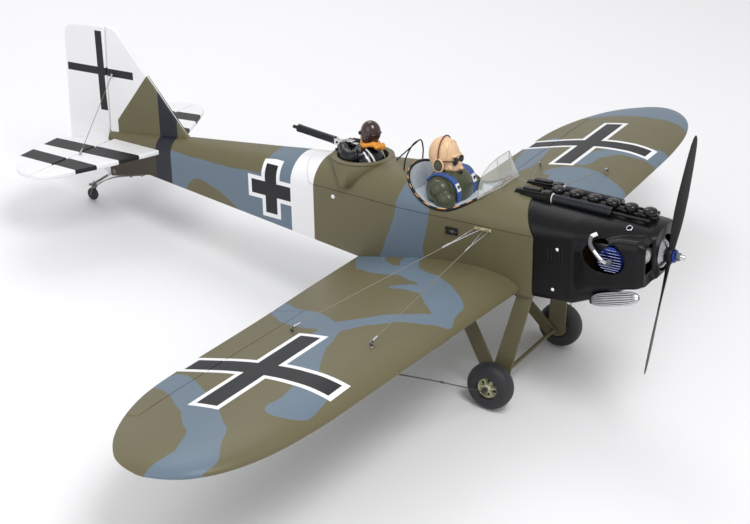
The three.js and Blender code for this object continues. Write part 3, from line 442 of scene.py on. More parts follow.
def linear(table, at):
    """Value at a place in a table of (place, value) rows, level past its ends."""
    if at <= table[0][0]:
        return table[0][1]
    for (t0, v0), (t1, v1) in zip(table, table[1:]):
        if at <= t1:
            return v0 + (v1 - v0) * (at - t0) / (t1 - t0)
    return table[-1][1]


def flowing(points, steps):
    """A smooth run through points, as a Catmull-Rom curve with even steps between them."""
    rows = [Vector(p) for p in points]
    rows = [rows[0] * 2 - rows[1], *rows, rows[-1] * 2 - rows[-2]]
    run = []
    for a, b, c, d in zip(rows, rows[1:], rows[2:], rows[3:]):
        for k in range(steps):
            t = k / steps
            run.append(0.5 * (b * 2 + (c - a) * t + (a * 2 - b * 5 + c * 4 - d) * t * t
                + (b * 3 - a - c * 3 + d) * t ** 3))
    return run + [rows[-2]]


def loft(rings, loops=False):
    """A skin over rings with equally many points, closed at both ends or on itself."""
    size = len(rings[0])
    points = [Vector(p) for ring in rings for p in ring]
    faces = []
    steps = len(rings) if loops else len(rings) - 1
    for r in range(steps):
        here, there = r * size, ((r + 1) % len(rings)) * size
        for i in range(size):
            j = (i + 1) % size
            faces.append((here + i, here + j, there + j, there + i))
    if not loops:
        faces.append(tuple(reversed(range(size))))
        faces.append(tuple(range((len(rings) - 1) * size, len(rings) * size)))
    return points, faces


def merged(*shapes):
    points, faces = [], []
    for more, sides in shapes:
        start = len(points)
        points.extend(more)
        faces.extend(tuple(start + i for i in side) for side in sides)
    return points, faces


def box(low, high):
    corners = [(x, y, z) for z in (low[2], high[2]) for y in (low[1], high[1]) for x in (low[0], high[0])]
    return corners, [(0, 2, 3, 1), (4, 5, 7, 6), (0, 1, 5, 4), (2, 6, 7, 3), (0, 4, 6, 2), (1, 3, 7, 5)]


def frame_along(direction):
    """Two unit vectors square to a direction."""
    direction = direction.normalized()
    first = direction.orthogonal().normalized()
    return first, direction.cross(first)


def tube(points, radius, sides=12, loops=False):
    """A round tube on a run of points; radius is one number or one for each point."""
    points = [Vector(p) for p in points]
    count = len(points)
    radii = radius if isinstance(radius, (list, tuple)) else [radius] * count
    rings, across = [], None
    for i, point in enumerate(points):
        ahead = points[(i + 1) % count] if loops else points[min(i + 1, count - 1)]
        behind = points[i - 1] if loops or i else points[0]
        along = (ahead - behind).normalized()
        across = frame_along(along)[0] if across is None else (across
            - along * across.dot(along)).normalized()
        up = along.cross(across)
        rings.append([point + (across * cos(a) + up * sin(a)) * radii[i] for a in turns(sides)])
    return loft(rings, loops)


def lathe(profile, centre, axis, sides=48):
    """A turned body; the profile lists (radius, distance along the axis)."""
    axis, centre = Vector(axis).normalized(), Vector(centre)
    first, second = frame_along(axis)
    rings = []
    for radius, along in profile:
        radius = max(radius, 0.01)
        rings.append([centre + axis * along + (first * cos(a) + second * sin(a)) * radius
            for a in turns(sides)])
    return loft(rings)


def ball(centre, radii, sides=24):
    rings = []
    for i in range(1, sides // 2):
        angle = pi * i / (sides // 2)
        rings.append([Vector(centre) + Vector((radii[0] * sin(angle) * cos(a),
            radii[1] * sin(angle) * sin(a), -radii[2] * cos(angle))) for a in turns(sides)])
    return loft(rings)


def moved(shape, place, size=(1, 1, 1)):
    return [Vector(place) + Vector(p) * Vector(size) for p in shape[0]], shape[1]


def twins(place, radii, sides=24):
    """Two balls, mirrored left and right."""
    x, y, z = place
    return merged(*[ball((s * x, y, z), radii, sides) for s in (-1, 1)])


def block(half, low, high):
    """A box across the middle plane, from its half width and the (y, z) of two corners."""
    return box((-half, *low), (half, *high))


def upright(profile, place, sides=24):
    return lathe(profile, place, (0, 0, 1), sides)


def slab(outline, thickness, place):
    """A plate; place turns (u, v, height) into a point."""
    rings = [[place(u, v, h) for u, v in outline] for h in thickness]
    return loft(rings)


def side_place(u, v, h):
    return (h, u, v)


def plan_place(u, v, h):
    return (u, v, h)


def raw_object(shape):
    mesh = bpy.data.meshes.new("shape")
    mesh.from_pydata([tuple(Vector(p) * MM) for p in shape[0]], [], shape[1])
    work = bmesh.new()
    work.from_mesh(mesh)
    bmesh.ops.remove_doubles(work, verts=work.verts, dist=1e-6)
    bmesh.ops.recalc_face_normals(work, faces=work.faces)
    work.to_mesh(mesh)
    work.free()
    made = bpy.data.objects.new("shape", mesh)
    bpy.context.scene.collection.objects.link(made)
    return made


def applied(made):
    """The object's shape with its modifiers, and the object removed."""
    bpy.context.view_layer.update()
    mesh = bpy.data.meshes.new_from_object(made.evaluated_get(bpy.context.evaluated_depsgraph_get()))
    shape = [v.co / MM for v in mesh.vertices], [tuple(f.vertices) for f in mesh.polygons]
    bpy.data.objects.remove(made)
    bpy.data.meshes.remove(mesh)
    return shape


def boolean(shape, tool, operation="DIFFERENCE"):
    made, cutter = raw_object(shape), raw_object(tool)
    step = made.modifiers.new("cut", "BOOLEAN")
    step.operation, step.solver, step.object = operation, "EXACT", cutter
    shape = applied(made)
    bpy.data.objects.remove(cutter)
    return shape


def cut(shape, *tools):
    for tool in tools:
        shape = boolean(shape, tool)
    return shape


def remeshed(shape, voxel, rounds=4):
    """One soft, continuous skin round all the shape's bodies."""
    made = raw_object(shape)
    step = made.modifiers.new("skin", "REMESH")
    step.mode, step.voxel_size = "VOXEL", voxel * MM
    soften = made.modifiers.new("soften", "SMOOTH")
    soften.factor, soften.iterations = 0.5, rounds
    return applied(made)


def piece(name, shape, paint, replaces=None, body="airframe", angle=35, bevel=0, segments=2):
    """A finished piece in the standing frame, riding on a body, in the given paint."""
    made = raw_object(shape)
    made.name = made.data.name = name
    made.matrix_world = STAND
    made.data.materials.append(paint)
    if bevel:
        step = made.modifiers.new("edges", "BEVEL")
        step.width, step.segments, step.limit_method = bevel * MM, segments, "ANGLE"
        step.angle_limit = radians(40)
    made.data.shade_smooth()
    made.data.set_sharp_from_angle(angle=radians(angle if not bevel else 60))
    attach(made, body)
    if replaces:
        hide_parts(replaces)
    return made


# ---------- fuselage ----------
WIDTH = ((-166, BODY_HALF), (50, BODY_HALF), (TAIL_Y, 12))
SPINE = ((-166, 99.5), (-143, 101.5), (-100, 105.5), (-50, 108.5), (60, 108.5), (155, 102.5), (215, 97.5),
    (326, 89), (490, 77.5), (TAIL_Y, 64))
SHOULDER = ((-166, 58), (215, 58), (TAIL_Y, 46))
KEEL = ((-166, BELLY_Z), (131, BELLY_Z), (569, 4), (TAIL_Y, -16))
DECK_STEPS = 36


def ring_of(y, half, keel, shoulder, spine, corner):
    """A hull section: flat sides with bevelled lower corners under a half-oval deck."""
    ring = [(half - corner, y, keel), (half - corner * 0.3, y, keel + corner * 0.3),
        (half, y, keel + corner)]
    for i in range(DECK_STEPS + 1):
        angle = pi * i / DECK_STEPS
        ring.append((half * cos(angle), y, shoulder + (spine - shoulder) * sin(angle)))
    return ring + [(-half, y, keel + corner), (-half + corner * 0.3, y, keel + corner * 0.3),
        (corner - half, y, keel)]


def fuselage_form(inset, start, end):
    """The solid hull between two stations, drawn in by the inset."""
    stations = {start, end, *(row[0] for row in (*SPINE, *KEEL, *WIDTH) if start < row[0] < end)}
    stations |= {start + (end - start) * k / 24 for k in range(25)}
    return loft([ring_of(y, linear(WIDTH, y) - inset, linear(KEEL, y) + inset, linear(SHOULDER, y),
        linear(SPINE, y) - inset, 4) for y in sorted(stations)])


def deck_height(x, y):
    """Height of the deck's surface above a place in plan."""
    reach = min(1.0, abs(x) / linear(WIDTH, y))
    shoulder = linear(SHOULDER, y)
    return shoulder + (linear(SPINE, y) - shoulder) * sqrt(1 - reach * reach)


def inside_hull(point, depth=SKIN * 0.8):
    """True for a point further in than most of the skin's thickness."""
    half, shoulder = linear(WIDTH, point.y) - depth, linear(SHOULDER, point.y)
    rise = max(0.0, point.z - shoulder) / (linear(SPINE, point.y) - depth - shoulder)
    return point.z > linear(KEEL, point.y) + depth and hypot(point.x / half, rise) < 1


def bare_wood_inside(made):
    """Leave the faces that lie wholly inside the hull in plain plywood."""
    made.data.materials.append(PLYWOOD)
    for face in made.data.polygons:
        face.material_index = int(all(inside_hull(made.data.vertices[i].co / MM) for i in face.vertices))


def side_block(outline, half=100):
    return slab(outline, (-half, half), side_place)


def behind_joint(shift):
    """All that lies aft of the joint between cowl and fuselage."""
    front, top = JOINT_Y + shift, JOINT_TOP_Y + shift
    return side_block([(front, -80), (PAST_TAIL, -80), (PAST_TAIL, OVER_DECK), (top, OVER_DECK), (top, 97),
        (front, SEAM_FRONT_Z)])


def above_seam(shift):
    """All that lies above the hatch's seam, with a rear edge that slopes aft."""
    rear, slope = HATCH_REAR_Y - shift, 0.64
    return side_block([(-200, SEAM_FRONT_Z + shift), (rear, SEAM_REAR_Z + shift),
        (rear + (OVER_DECK - SEAM_REAR_Z) * slope, OVER_DECK), (-200, OVER_DECK)])


def cockpit_outline(grow, count=64):
    """The pilot's opening in plan, a rounded oblong."""
    power = 2 / COCKPIT_POWER
    outline = []
    for k in range(count):
        c, s = cos(tau * k / count), sin(tau * k / count)
        outline.append(((COCKPIT_HALF_X + grow) * copysign(abs(c) ** power, c),
            COCKPIT_Y + (COCKPIT_HALF_Y + grow) * copysign(abs(s) ** power, s)))
    return outline


def circle(radius, y, z, count=48):
    return [(radius * cos(tau * k / count), y + radius * sin(tau * k / count), z) for k in range(count)]


def build_fuselage():
    outer = fuselage_form(0, -172, TAIL_Y)
    jointed = boolean(outer, behind_joint(0.2), "INTERSECT")
    shell = cut(jointed, above_seam(-0.3), fuselage_form(SKIN, -160, 630))
    bare_wood_inside(piece("fuselage_skin", shell, FILM_BODY, "fuselage_shell", angle=30))

    floor = boolean(box((-70, -100, FLOOR_Z - SKIN), (70, 205, FLOOR_Z)),
        fuselage_form(SKIN / 2, *HATCH_HOLLOW), "INTERSECT")
    hatch = boolean(jointed, above_seam(0.5), "INTERSECT")
    hatch = boolean(cut(hatch, fuselage_form(SKIN, *HATCH_HOLLOW)), floor, "UNION")
    hatch = boolean(hatch, pit_collar(), "UNION")
    well = slab(cockpit_outline(0), (FLOOR_Z, 140), plan_place)
    pit = loft([circle(PIT_INNER, PIT_Y, z) for z in (FLOOR_Z, 140)])
    hatch = cut(hatch, well, pit)
    bare_wood_inside(piece("hatch_skin", hatch, FILM_BODY, "upper_deck", body="hatch", angle=30))
    wall = [[Vector((x, y, z)) for x, y in cockpit_outline(-0.6)] for z in (FLOOR_Z + 0.4, 0.0)]
    wall[1] = [Vector((p.x, p.y, deck_height(p.x, p.y) - 1.5)) for p in wall[1]]
    inner = [[Vector((p.x * 0.985, COCKPIT_Y + (p.y - COCKPIT_Y) * 0.985, p.z)) for p in ring]
        for ring in wall]
    lining = loft([wall[0], wall[1], inner[1], inner[0]], loops=True)
    piece("cockpit_lining", lining, LINER, body="hatch", angle=30)
    mat = slab(cockpit_outline(-2), (FLOOR_Z + 0.3, FLOOR_Z + 1.2), plan_place)
    piece("cockpit_mat", mat, LINER, body="hatch", angle=30)


def pit_collar():
    """Fairing that widens from the gunner's ring down to a point on each side of the deck."""
    points = circle(PIT_OUTER, PIT_Y, PIT_RIM_Z) + circle(PIT_OUTER, PIT_Y, PIT_RIM_Z - 2)
    points += circle(PIT_OUTER - 4, PIT_Y, 82)
    points += [(s * 65.5, PIT_Y + dy, z) for s in (-1, 1) for dy, z in ((-10, 72), (2, 76))]
    work = bmesh.new()
    for point in points:
        work.verts.new(point)
    bmesh.ops.convex_hull(work, input=work.verts)
    loose = [v for v in work.verts if not v.link_faces]
    bmesh.ops.delete(work, geom=loose, context="VERTS")
    work.verts.index_update()
    shape = [v.co.copy() for v in work.verts], [tuple(v.index for v in f.verts) for f in work.faces]
    work.free()
    return shape


# ---------- wings ----------
AEROFOIL_TOP = ((0, 0.035), (0.0125, 0.0545), (0.05, 0.079), (0.1, 0.096), (0.2, 0.1136), (0.3, 0.117),
    (0.4, 0.114), (0.55, 0.0985), (0.7, 0.0735), (0.85, 0.0405), (1, 0.006))
AEROFOIL_BOTTOM = ((1, 0), (0.6, 0), (0.2, 0), (0.06, 0.004), (0.0125, 0.0193), (0, 0.035))
WING_PLAN = ((55, -147, 131), (70, -147, 131), (200, -142.5, 127), (333, -139, 121), (515, -134, 117),
    (585, -130, 111), (638, -124, 97), (680, -114, 79), (712, -101, 60), (735, -85, 41), (750, -68, 24),
    (760, -47, 3), (HALF_SPAN, -28, -18))
TIP_START, TIP_RISE = 540, 9


def wing_bottom(x):
    tip = max(0.0, (abs(x) - TIP_START) / (HALF_SPAN - TIP_START))
    return BELLY_Z + DIHEDRAL * max(0.0, abs(x) - 70) + TIP_RISE * tip ** 1.5


def wing_form(side):
    """A whole wing panel with its aileron still in it."""
    section = [(p.x, p.y) for p in flowing([(f, h, 0) for f, h in AEROFOIL_TOP], 3)]
    section += [(p.x, p.y) for p in flowing([(f, h, 0) for f, h in AEROFOIL_BOTTOM], 2)][1:-1]
    rings = []
    for row in flowing(WING_PLAN, 4):
        x, leading, trailing = min(row.x, HALF_SPAN), row.y, row.z
        chord = trailing - leading
        rings.append([(side * x, leading + f * chord, wing_bottom(x) + h * chord) for f, h in section])
    return loft(rings)


def wing_top(x, y):
    rows = [(row[0], row) for row in WING_PLAN]
    leading = linear([(x0, row[1]) for x0, row in rows], x)
    chord = linear([(x0, row[2]) for x0, row in rows], x) - leading
    return wing_bottom(x) + chord * linear(AEROFOIL_TOP, (y - leading) / chord)


def hinge_height(x):
    return -18.8 + 0.0175 * (abs(x) - AILERON_INNER)


def aileron_wedge(side):
    """All that lies aft of the hinge line, under a front face that leans both ways from it."""
    lean = tan(radians(26))

    def ring(x):
        z, y = hinge_height(x), AILERON_HINGE_Y
        return [(side * x, y + lean * 20, z + 20), (side * x, y, z), (side * x, y + lean * 32, z - 32),
            (side * x, 160, z - 32), (side * x, 160, z + 20)]
    return loft([ring(AILERON_INNER), ring(AILERON_OUTER)])


def build_wings():
    body = fuselage_form(-GAP, -172, TAIL_Y)
    for word, side in SIDES:
        form = wing_form(side)
        ends = sorted((side * (AILERON_INNER - 0.8), side * (AILERON_OUTER + 0.8)))
        bay = box((ends[0], AILERON_HINGE_Y - 0.8, -80), (ends[1], 160, 40))
        piece(f"wing_skin_{word}", cut(form, bay, body), WING_PAINTS[word], f"wing_{word}", angle=40)
        piece(f"aileron_skin_{word}", boolean(form, aileron_wedge(side), "INTERSECT"), WING_PAINTS[word],
            f"aileron_{word}", body=f"aileron_{word}_unit", angle=40)
        floor = wing_bottom(SERVO_X)
        servo = merged(block(17.4, (0.6, -1.2), (23.4, 2.4)), block(10, (3, -6), (21, -1)))
        piece(f"aileron_servo_case_{word}", moved(servo, (side * SERVO_X, 0, floor)), SATIN_BLACK,
            f"aileron_servo_{word}", bevel=0.6)
        arm = merged(upright([(0, 0), (4, 0), (4, 3), (0, 3)], (0, 12, -9)), block(1.5, (8, -16), (16, -6)))
        piece(f"aileron_servo_arm_{word}", moved(arm, (side * SERVO_ARM_X, 0, floor)), WHITE_PLASTIC,
            bevel=0.4)


# ---------- tail ----------
TAILPLANE = ((0, 534), (15, 539), (105, 572), (150, 592), (192, 612), (211, 631), (215, 647.8))
ELEVATOR = ((215.5, 652), (214, 664), (210, 676), (202, 688), (186, 704), (150, 729), (52, 738), (44, 731),
    (17, 652))
FIN = ((491, 74), (575, 173), (618, 223), (628, 236), (638, 243), (652.5, 245), (656.5, 160), (659.3, 60),
    (500, 60))
RUDDER_TOP, RUDDER_FOOT = (654.5, 245), (665, -17)
RUDDER = ((656.5, 244.5), (700, 243), (733, 239.5), (742, 234), (744.5, 222), (751, 40), (746.5, 22),
    (690, -6), (672, -17), (667.5, -17))


def build_tail():
    piece("fin_skin", slab(FIN, (-TAIL_THICK / 2, TAIL_THICK / 2), side_place), FILM_FIN, "fin", bevel=1.8,
        segments=3)
    edge = tube([(0, 495.5, 77.5), (0, 574.2, 171.2)], 1.2, 10)
    piece("fin_edge_strip", edge, WHITE_PLASTIC)
    curve = [(p.x, p.y) for p in flowing([(x, y, 0) for x, y in TAILPLANE[:-1]], 4)] + [TAILPLANE[-1]]
    plan = [(-x, y) for x, y in reversed(curve[1:])] + curve
    half = TAIL_THICK / 2
    piece("stabiliser_skin", slab(plan, (TAIL_PLANE_Z - half, TAIL_PLANE_Z + half), plan_place), FILM_TAIL,
        "stabiliser", bevel=2.2, segments=3)
    round_part = [(p.x, p.y) for p in flowing([(x, y, 0) for x, y in ELEVATOR[:6]], 4)]
    half -= 0.5
    wedge_back = tan(radians(24)) * 6
    for word, side in SIDES:
        outline = [(side * x, y) for x, y in (*round_part, *ELEVATOR[6:])]
        plate = slab(outline, (TAIL_PLANE_Z - half, TAIL_PLANE_Z + half), plan_place)
        reach = (-230, -1) if side < 0 else (1, 230)
        front = ELEVATOR_HINGE_Y + 1
        wedge = loft([[(x, front + wedge_back, TAIL_PLANE_Z + 6), (x, front, TAIL_PLANE_Z),
            (x, front + wedge_back, TAIL_PLANE_Z - 6), (x, 760, TAIL_PLANE_Z - 6),
            (x, 760, TAIL_PLANE_Z + 6)] for x in reach])
        piece(f"elevator_skin_{word}", boolean(plate, wedge, "INTERSECT"), FILM_TAIL, f"elevator_{word}",
            body="elevator_unit", bevel=1.4, segments=3)
    rod = [(-30, 684, 0), (-30, 654, 0), (-28.5, 651.2, 0), (-26, ELEVATOR_HINGE_Y, 0)]
    rod = [Vector((x, y, TAIL_PLANE_Z)) for x, y, _ in rod]
    rod += [Vector((-p.x, p.y, p.z)) for p in reversed(rod)]
    piece("elevator_wire", tube(rod, 1.7, 12), STEEL, "elevator_joiner", body="elevator_unit")
    plate = slab(RUDDER, (-3.6, 3.6), side_place)
    back = tan(radians(28)) * 5
    slope = (RUDDER_FOOT[0] - RUDDER_TOP[0]) / (RUDDER_FOOT[1] - RUDDER_TOP[1])
    rings = []
    for y, z in ((RUDDER_TOP[0] + slope * 20, RUDDER_TOP[1] + 20),
            (RUDDER_FOOT[0] - slope * 20, RUDDER_FOOT[1] - 20)):
        front = y + 1.2
        rings.append([(-5, front + back, z), (0, front, z), (5, front + back, z), (5, y + 140, z),
            (-5, y + 140, z)])
    piece("rudder_skin", boolean(plate, loft(rings), "INTERSECT"), FILM_FIN, "rudder", body="rudder_unit",
        bevel=1.4, segments=3)
    for word, side in SIDES:
        high = Vector((side * 5.1, 645, 165))
        low = Vector((side * 105, 640, TAIL_PLANE_Z + 5.1))
        fittings = merged(tube([high, high.lerp(low, 0.07)], [2.2, 1.4], 10),
            tube([low, low.lerp(high, 0.07)], [2.4, 1.4], 10))
        piece(f"tail_brace_{word}_fittings", fittings, POLISHED)
        piece(f"tail_brace_{word}_wire", tube([high, low], 0.5, 10), CABLE, f"tail_brace_{word}")


# ---------- cowl ----------
COWL_STATIONS = ((-138, 69, BELLY_Z, 58, 101.8), (-166, 69, BELLY_Z, 58, 99.5), (-225, 67, -36, 62, 96),
    (-275, 57, -18, 66, 93), (-312, 46, 3, 70, 90.5), (-328, 42, 10, 72, 89.5), (NOSE_Y, 38, 15, 74, 87.5))
CHEEK_STATIONS = ((-205, -62, -14, 56), (-245, -69.5, -10, 64), (-290, -71, 2, 78), (-322, -71, 9, 80),
    (-333, -68, 14, 76))


def cowl_form(inset, front_inset):
    """The cowl's solid form with the bulge over the engine on the right cheek."""
    last = COWL_STATIONS[-1]
    main = [ring_of(y + (front_inset if y == last[0] else 0), half - inset, under + inset, shoulder,
        top - inset, 12) for y, half, under, shoulder, top in COWL_STATIONS]
    cheek = []
    for y, out, under, top in CHEEK_STATIONS:
        x, low, high = out + inset, under + inset, top - inset
        at = y + (front_inset if y == CHEEK_STATIONS[-1][0] else 0)
        cheek.append([(a, at, b) for a, b in ((-10, low), (x + 9, low), (x + 2, low + 3), (x, low + 10),
            (x, high - 12), (x + 3, high - 4), (x + 10, high), (-10, high))])
    return boolean(loft(main), loft(cheek), "UNION")


def cowl_top(y):
    return linear([(row[0], row[4]) for row in reversed(COWL_STATIONS)], y)


def gun_clearance():
    tools = []
    for side in (-1, 1):
        x = side * GUN_X
        tools.append(box((x - 7.8, -172.5, GUN_Z - 9.8), (x + 7.8, -113, GUN_Z + 30)))
        tools.append(tube([(x, -169, GUN_Z - 1), (x, -262.5, GUN_Z - 5)], 8, 24))
        tools.append(tube([(x, -260, GUN_Z - 5), (x, -319, GUN_Z - 8)], 3.1, 16))
    return tools


def build_cowl():
    opening = []
    for x in (-110, -50):
        opening.append([(x, -273 + 31 * cos(a), 49.5 + 22.5 * sin(a)) for a in turns(48)])
    hollow = cut(cowl_form(0, 0), behind_joint(-0.2), cowl_form(2, 2))
    hollow = cut(hollow, loft(opening), box((-64, -345, 33), (-40, -300, 74)),
        tube([(0, -345, 45), (0, -300, 45)], 26, 48), tube([(-90, ENGINE_Y, ENGINE_Z),
        (-50, ENGINE_Y, ENGINE_Z)], HEAD_RADIUS + 1, 48), box((-24, -205, -60), (24, -178, -10)))
    skin = cut(remeshed(hollow, 1.5, 3), behind_joint(-0.2), *gun_clearance())
    piece("cowl_skin", skin, COWL, "cowl", angle=40)
    slots = [box((-linear([(-225, 68.1), (-166, 69.5)], y) - 0.6, y, 30), (-65.5, y + 2.2, 46))
        for y in (-213, -207.5, -202, -196.5, -191)]
    piece("cowl_louvres", merged(*slots), SATIN_BLACK, bevel=0.5)
    ring = tube([(-36.5 + 4 * cos(a), -296 + 4 * sin(a), 86.2 + 2 * cos(a)) for a in turns(24)], 0.7, 8,
        loops=True)
    piece("filler_ring", ring, POLISHED)


def build_covers():
    """Row of black cylinder covers on a cam housing along the top of the cowl."""
    places = [-171 - 28 * k for k in range(6)]
    shapes = []
    for y in places:
        top = 105 + (y + 311) * 0.045
        low = cowl_top(y) - 2
        shapes.append(upright([(0, low), (7, low), (7.2, top - 8.5), (10, top - 7.2), (10.2, top - 3.2),
            (9.2, top - 0.8), (6.6, top + 0.8), (3.4, top + 1.4), (0, top + 1.6)], (0, y, 0), 40))
    housing = [(0, y, cowl_top(y) + 2.2) for y in (-160, -190, -220, -250, -280, -310, -322)]
    shapes.append(tube(housing, 5.2, 20))
    for y in places[:-1]:
        at = y - 14
        shapes.append(tube([(-7.5, at, cowl_top(at) + 3), (7.5, at, cowl_top(at) + 3)], 2.6, 14))
    piece("cylinder_cover_row", merged(*shapes), BLACK, "cylinder_covers", angle=50)


def perforated(start, end, radius, around=14, along=22):
    """A sleeve pierced by rows of staggered holes."""
    start, end = Vector(start), Vector(end)
    first, second = frame_along(end - start)
    rows = along * 3
    points, faces = [], []
    for r in range(rows + 1):
        centre = start.lerp(end, r / rows)
        for k in range(around * 3):
            a = tau * k / (around * 3)
            points.append(centre + (first * cos(a) + second * sin(a)) * radius)
    for r in range(rows):
        for k in range(around * 3):
            stagger = 1 if (r // 3) % 2 else 0
            if 2 < r < rows - 3 and r % 3 == 1 and (k + stagger) % 3 == 1:
                continue
            j = (k + 1) % (around * 3)
            low, high = r * around * 3, (r + 1) * around * 3
            faces.append((low + k, low + j, high + j, high + k))
    return points, faces


def solid_sheet(shape, thickness):
    """An open surface given a wall thickness on its inner side."""
    made = raw_object(shape)
    step = made.modifiers.new("wall", "SOLIDIFY")
    step.thickness, step.offset = thickness * MM, -1
    return applied(made)


def build_nose_guns():
    for word, side in SIDES:
        place = (side * GUN_X, 0, GUN_Z)
        receiver = merged(block(6.8, (-170, -8.8), (-122.5, 6.8)), block(4.6, (-152, 5.5), (-126, 9.8)),
            block(5.6, (-168, 6), (-158, 8.6)), block(7.2, (-164, -4), (-132, 2)),
            block(4.5, (-123.5, -4), (-114.5, 5.5)), tube([(-5.2, -115, 0), (5.2, -115, 0)], 2.8, 14))
        piece(f"nose_gun_{word}_receiver", moved(receiver, place), BLACK, f"nose_gun_{word}", body="hatch",
            bevel=0.7)
        sleeve = moved(perforated((0, -174, -1.2), (0, -262, -5), 7.4), place)
        piece(f"nose_gun_{word}_jacket", solid_sheet(sleeve, 0.9), GUN_METAL, body="hatch", angle=40)
        muzzle = [(0, -262, -5.1), (0, -306, -7.4), (0, -306.5, -7.4), (0, -318, -8)]
        barrel = merged(tube([(0, -170, -1), (0, -262, -5)], 5.4, 16),
            tube([(0, -259, -5), (0, -262.5, -5.2)], 7.4, 24), tube(muzzle, [2.1, 2, 2.6, 2.6], 16))
        piece(f"nose_gun_{word}_barrel", moved(barrel, place), BLACK, body="hatch", angle=50)
        band = tube([(0, -171.2, -1), (0, -172.1, -1)], 7.7, 28)
        piece(f"nose_gun_{word}_band", moved(band, place), WHITE_PLASTIC, body="hatch")


# ---------- engine ----------
def on_shaft(profile, sides=48):
    return lathe(profile, (0, 0, SHAFT_Z), (0, 1, 0), sides)


def build_engine():
    nose = on_shaft([(0, -338.8), (11.2, -338.8), (12.8, -338), (18.5, -335.5), (23.2, -330.5),
        (24.4, -324), (24, -311), (19.5, -301), (19, -262), (0, -262)], 56)
    rib = Vector((13, -337.6, 0)), Vector((23.6, -330, 0))
    ribs = [moved(tube([Matrix.Rotation(-tau * (k + 0.5) / 8, 3, "Y") @ p for p in rib], 1.1, 8),
        (0, 0, SHAFT_Z)) for k in range(8)]
    piece("crankcase_nose", merged(nose, *ribs), SILVER, "crankcase", angle=40)
    mount = merged(block(24, (-262, 34), (-212.3, 50)), block(20, (-303, 26), (-258, 60)))
    piece("crankcase_body", mount, SILVER, bevel=1.5)
    intake = merged(tube([(-28, -321.5, 53), (-56, -321.5, 53)], 8, 24),
        tube([(-46, -321.5, 53), (-49, -321.5, 53)], 10.5, 24), tube([(-50, -321.5, 40), (-50, -321.5, 66)],
        4.2, 16))
    piece("intake_body", intake, CASTING, angle=50)
    build_cylinder()
    build_plug()
    build_propeller()


def build_cylinder():
    place = (0, ENGINE_Y, ENGINE_Z)
    core, fin = 14, 18.2
    profile = [(0, -20.3), (17, -20.3), (17, -26), (core, -26)]
    for k in range(7):
        x = -29 - 4.2 * k
        profile += [(core, x), (fin, x), (fin, x - 1.6), (core, x - 1.6)]
    profile += [(core, -58.2), (0, -58.2)]
    piece("cylinder_barrel", lathe(profile, place, (1, 0, 0)), SILVER, "cylinder", angle=30)
    head = [lathe([(0, -58.4), (HEAD_RADIUS, -58.4), (HEAD_RADIUS, -66.5), (16, -68), (0, -68)], (0, 0, 0),
        (1, 0, 0), 56)]
    edges = []
    for k in range(-4, 5):
        lift = 3.9 * k
        reach = sqrt(HEAD_RADIUS ** 2 - lift ** 2) - 0.6
        crown = -73.8 + 3.5 * (k / 4) ** 2
        head.append(box((crown, -reach, lift - 0.9), (-66, reach, lift + 0.9)))
        edges.append(box((crown - 0.3, 1 - reach, lift - 0.32), (crown + 0.5, reach - 1, lift + 0.32)))
    piece("cylinder_head_fins", moved(merged(*head), place), BLUE_METAL, "cylinder_head", bevel=0.3)
    piece("cylinder_head_edges", moved(merged(*edges), place), POLISHED)


def build_plug():
    """The plug's boot and its lead, which bends round to the cylinder."""
    place = (0, ENGINE_Y, ENGINE_Z)
    boot = tube([(-70, 0, 0), (-79, 0, 0), (-82.2, 1, 0)], [4.2, 4.2, 3], 20)
    piece("plug_boot", moved(boot, place), GREY_PLASTIC, "plug_cap", angle=50)
    route = flowing([(-81.5, 2, 1), (-83.8, 9, 6), (-81.5, 20, 15), (-77.5, 27.5, 22.5), (-70, 29, 30),
        (-64, 24, 33)], 8)
    fifth = len(route) // 5
    bend, end = fifth * 2, fifth * 4
    piece("plug_lead_sleeve", moved(tube(route[:bend + 1], 3.1, 20), place), POLISHED)
    piece("plug_lead_bend", moved(tube(route[bend:end + 1], 2.9, 20), place), GREY_PLASTIC)
    piece("plug_lead_end", moved(tube(route[end:], 3, 20), place), WHITE_PLASTIC)


def build_propeller():
    shaft = on_shaft([(0, -322), (4, -322), (4, -364.8), (3.2, -366), (0, -366)], 32)
    piece("crankshaft_tip", shaft, POLISHED, "crankshaft", body="propeller_unit", angle=40)
    nut = on_shaft([(0, -353.3), (6.4, -353.3), (6.4, -357.8), (5.6, -359), (0, -359)], 6)
    piece("propeller_nut", nut, GREY_PLASTIC, body="propeller_unit", bevel=0.4)
    washer = on_shaft([(4.2, -348.8), (9, -348.8), (9.5, -349.4), (9.3, -352), (8.2, -352.9),
        (4.2, -352.9)])
    piece("propeller_washer", washer, BLUE_METAL, "prop_washer", body="propeller_unit", angle=40)
    hub = lathe([(4.3, -339.2), (10.5, -339.2), (11.2, -340), (11.2, -347.6), (10.5, -348.4),
        (4.3, -348.4)], (0, 0, 0), (0, 1, 0))
    points, faces = merged(hub, *[propeller_blade(s) for s in (-1, 1)])
    turn = Matrix.Rotation(-PROP_ANGLE, 4, "Y")
    shape = moved(([turn @ p for p in points], faces), (0, 0, SHAFT_Z))
    piece("propeller_blades", shape, SATIN_BLACK, "propeller", body="propeller_unit",
        angle=50)


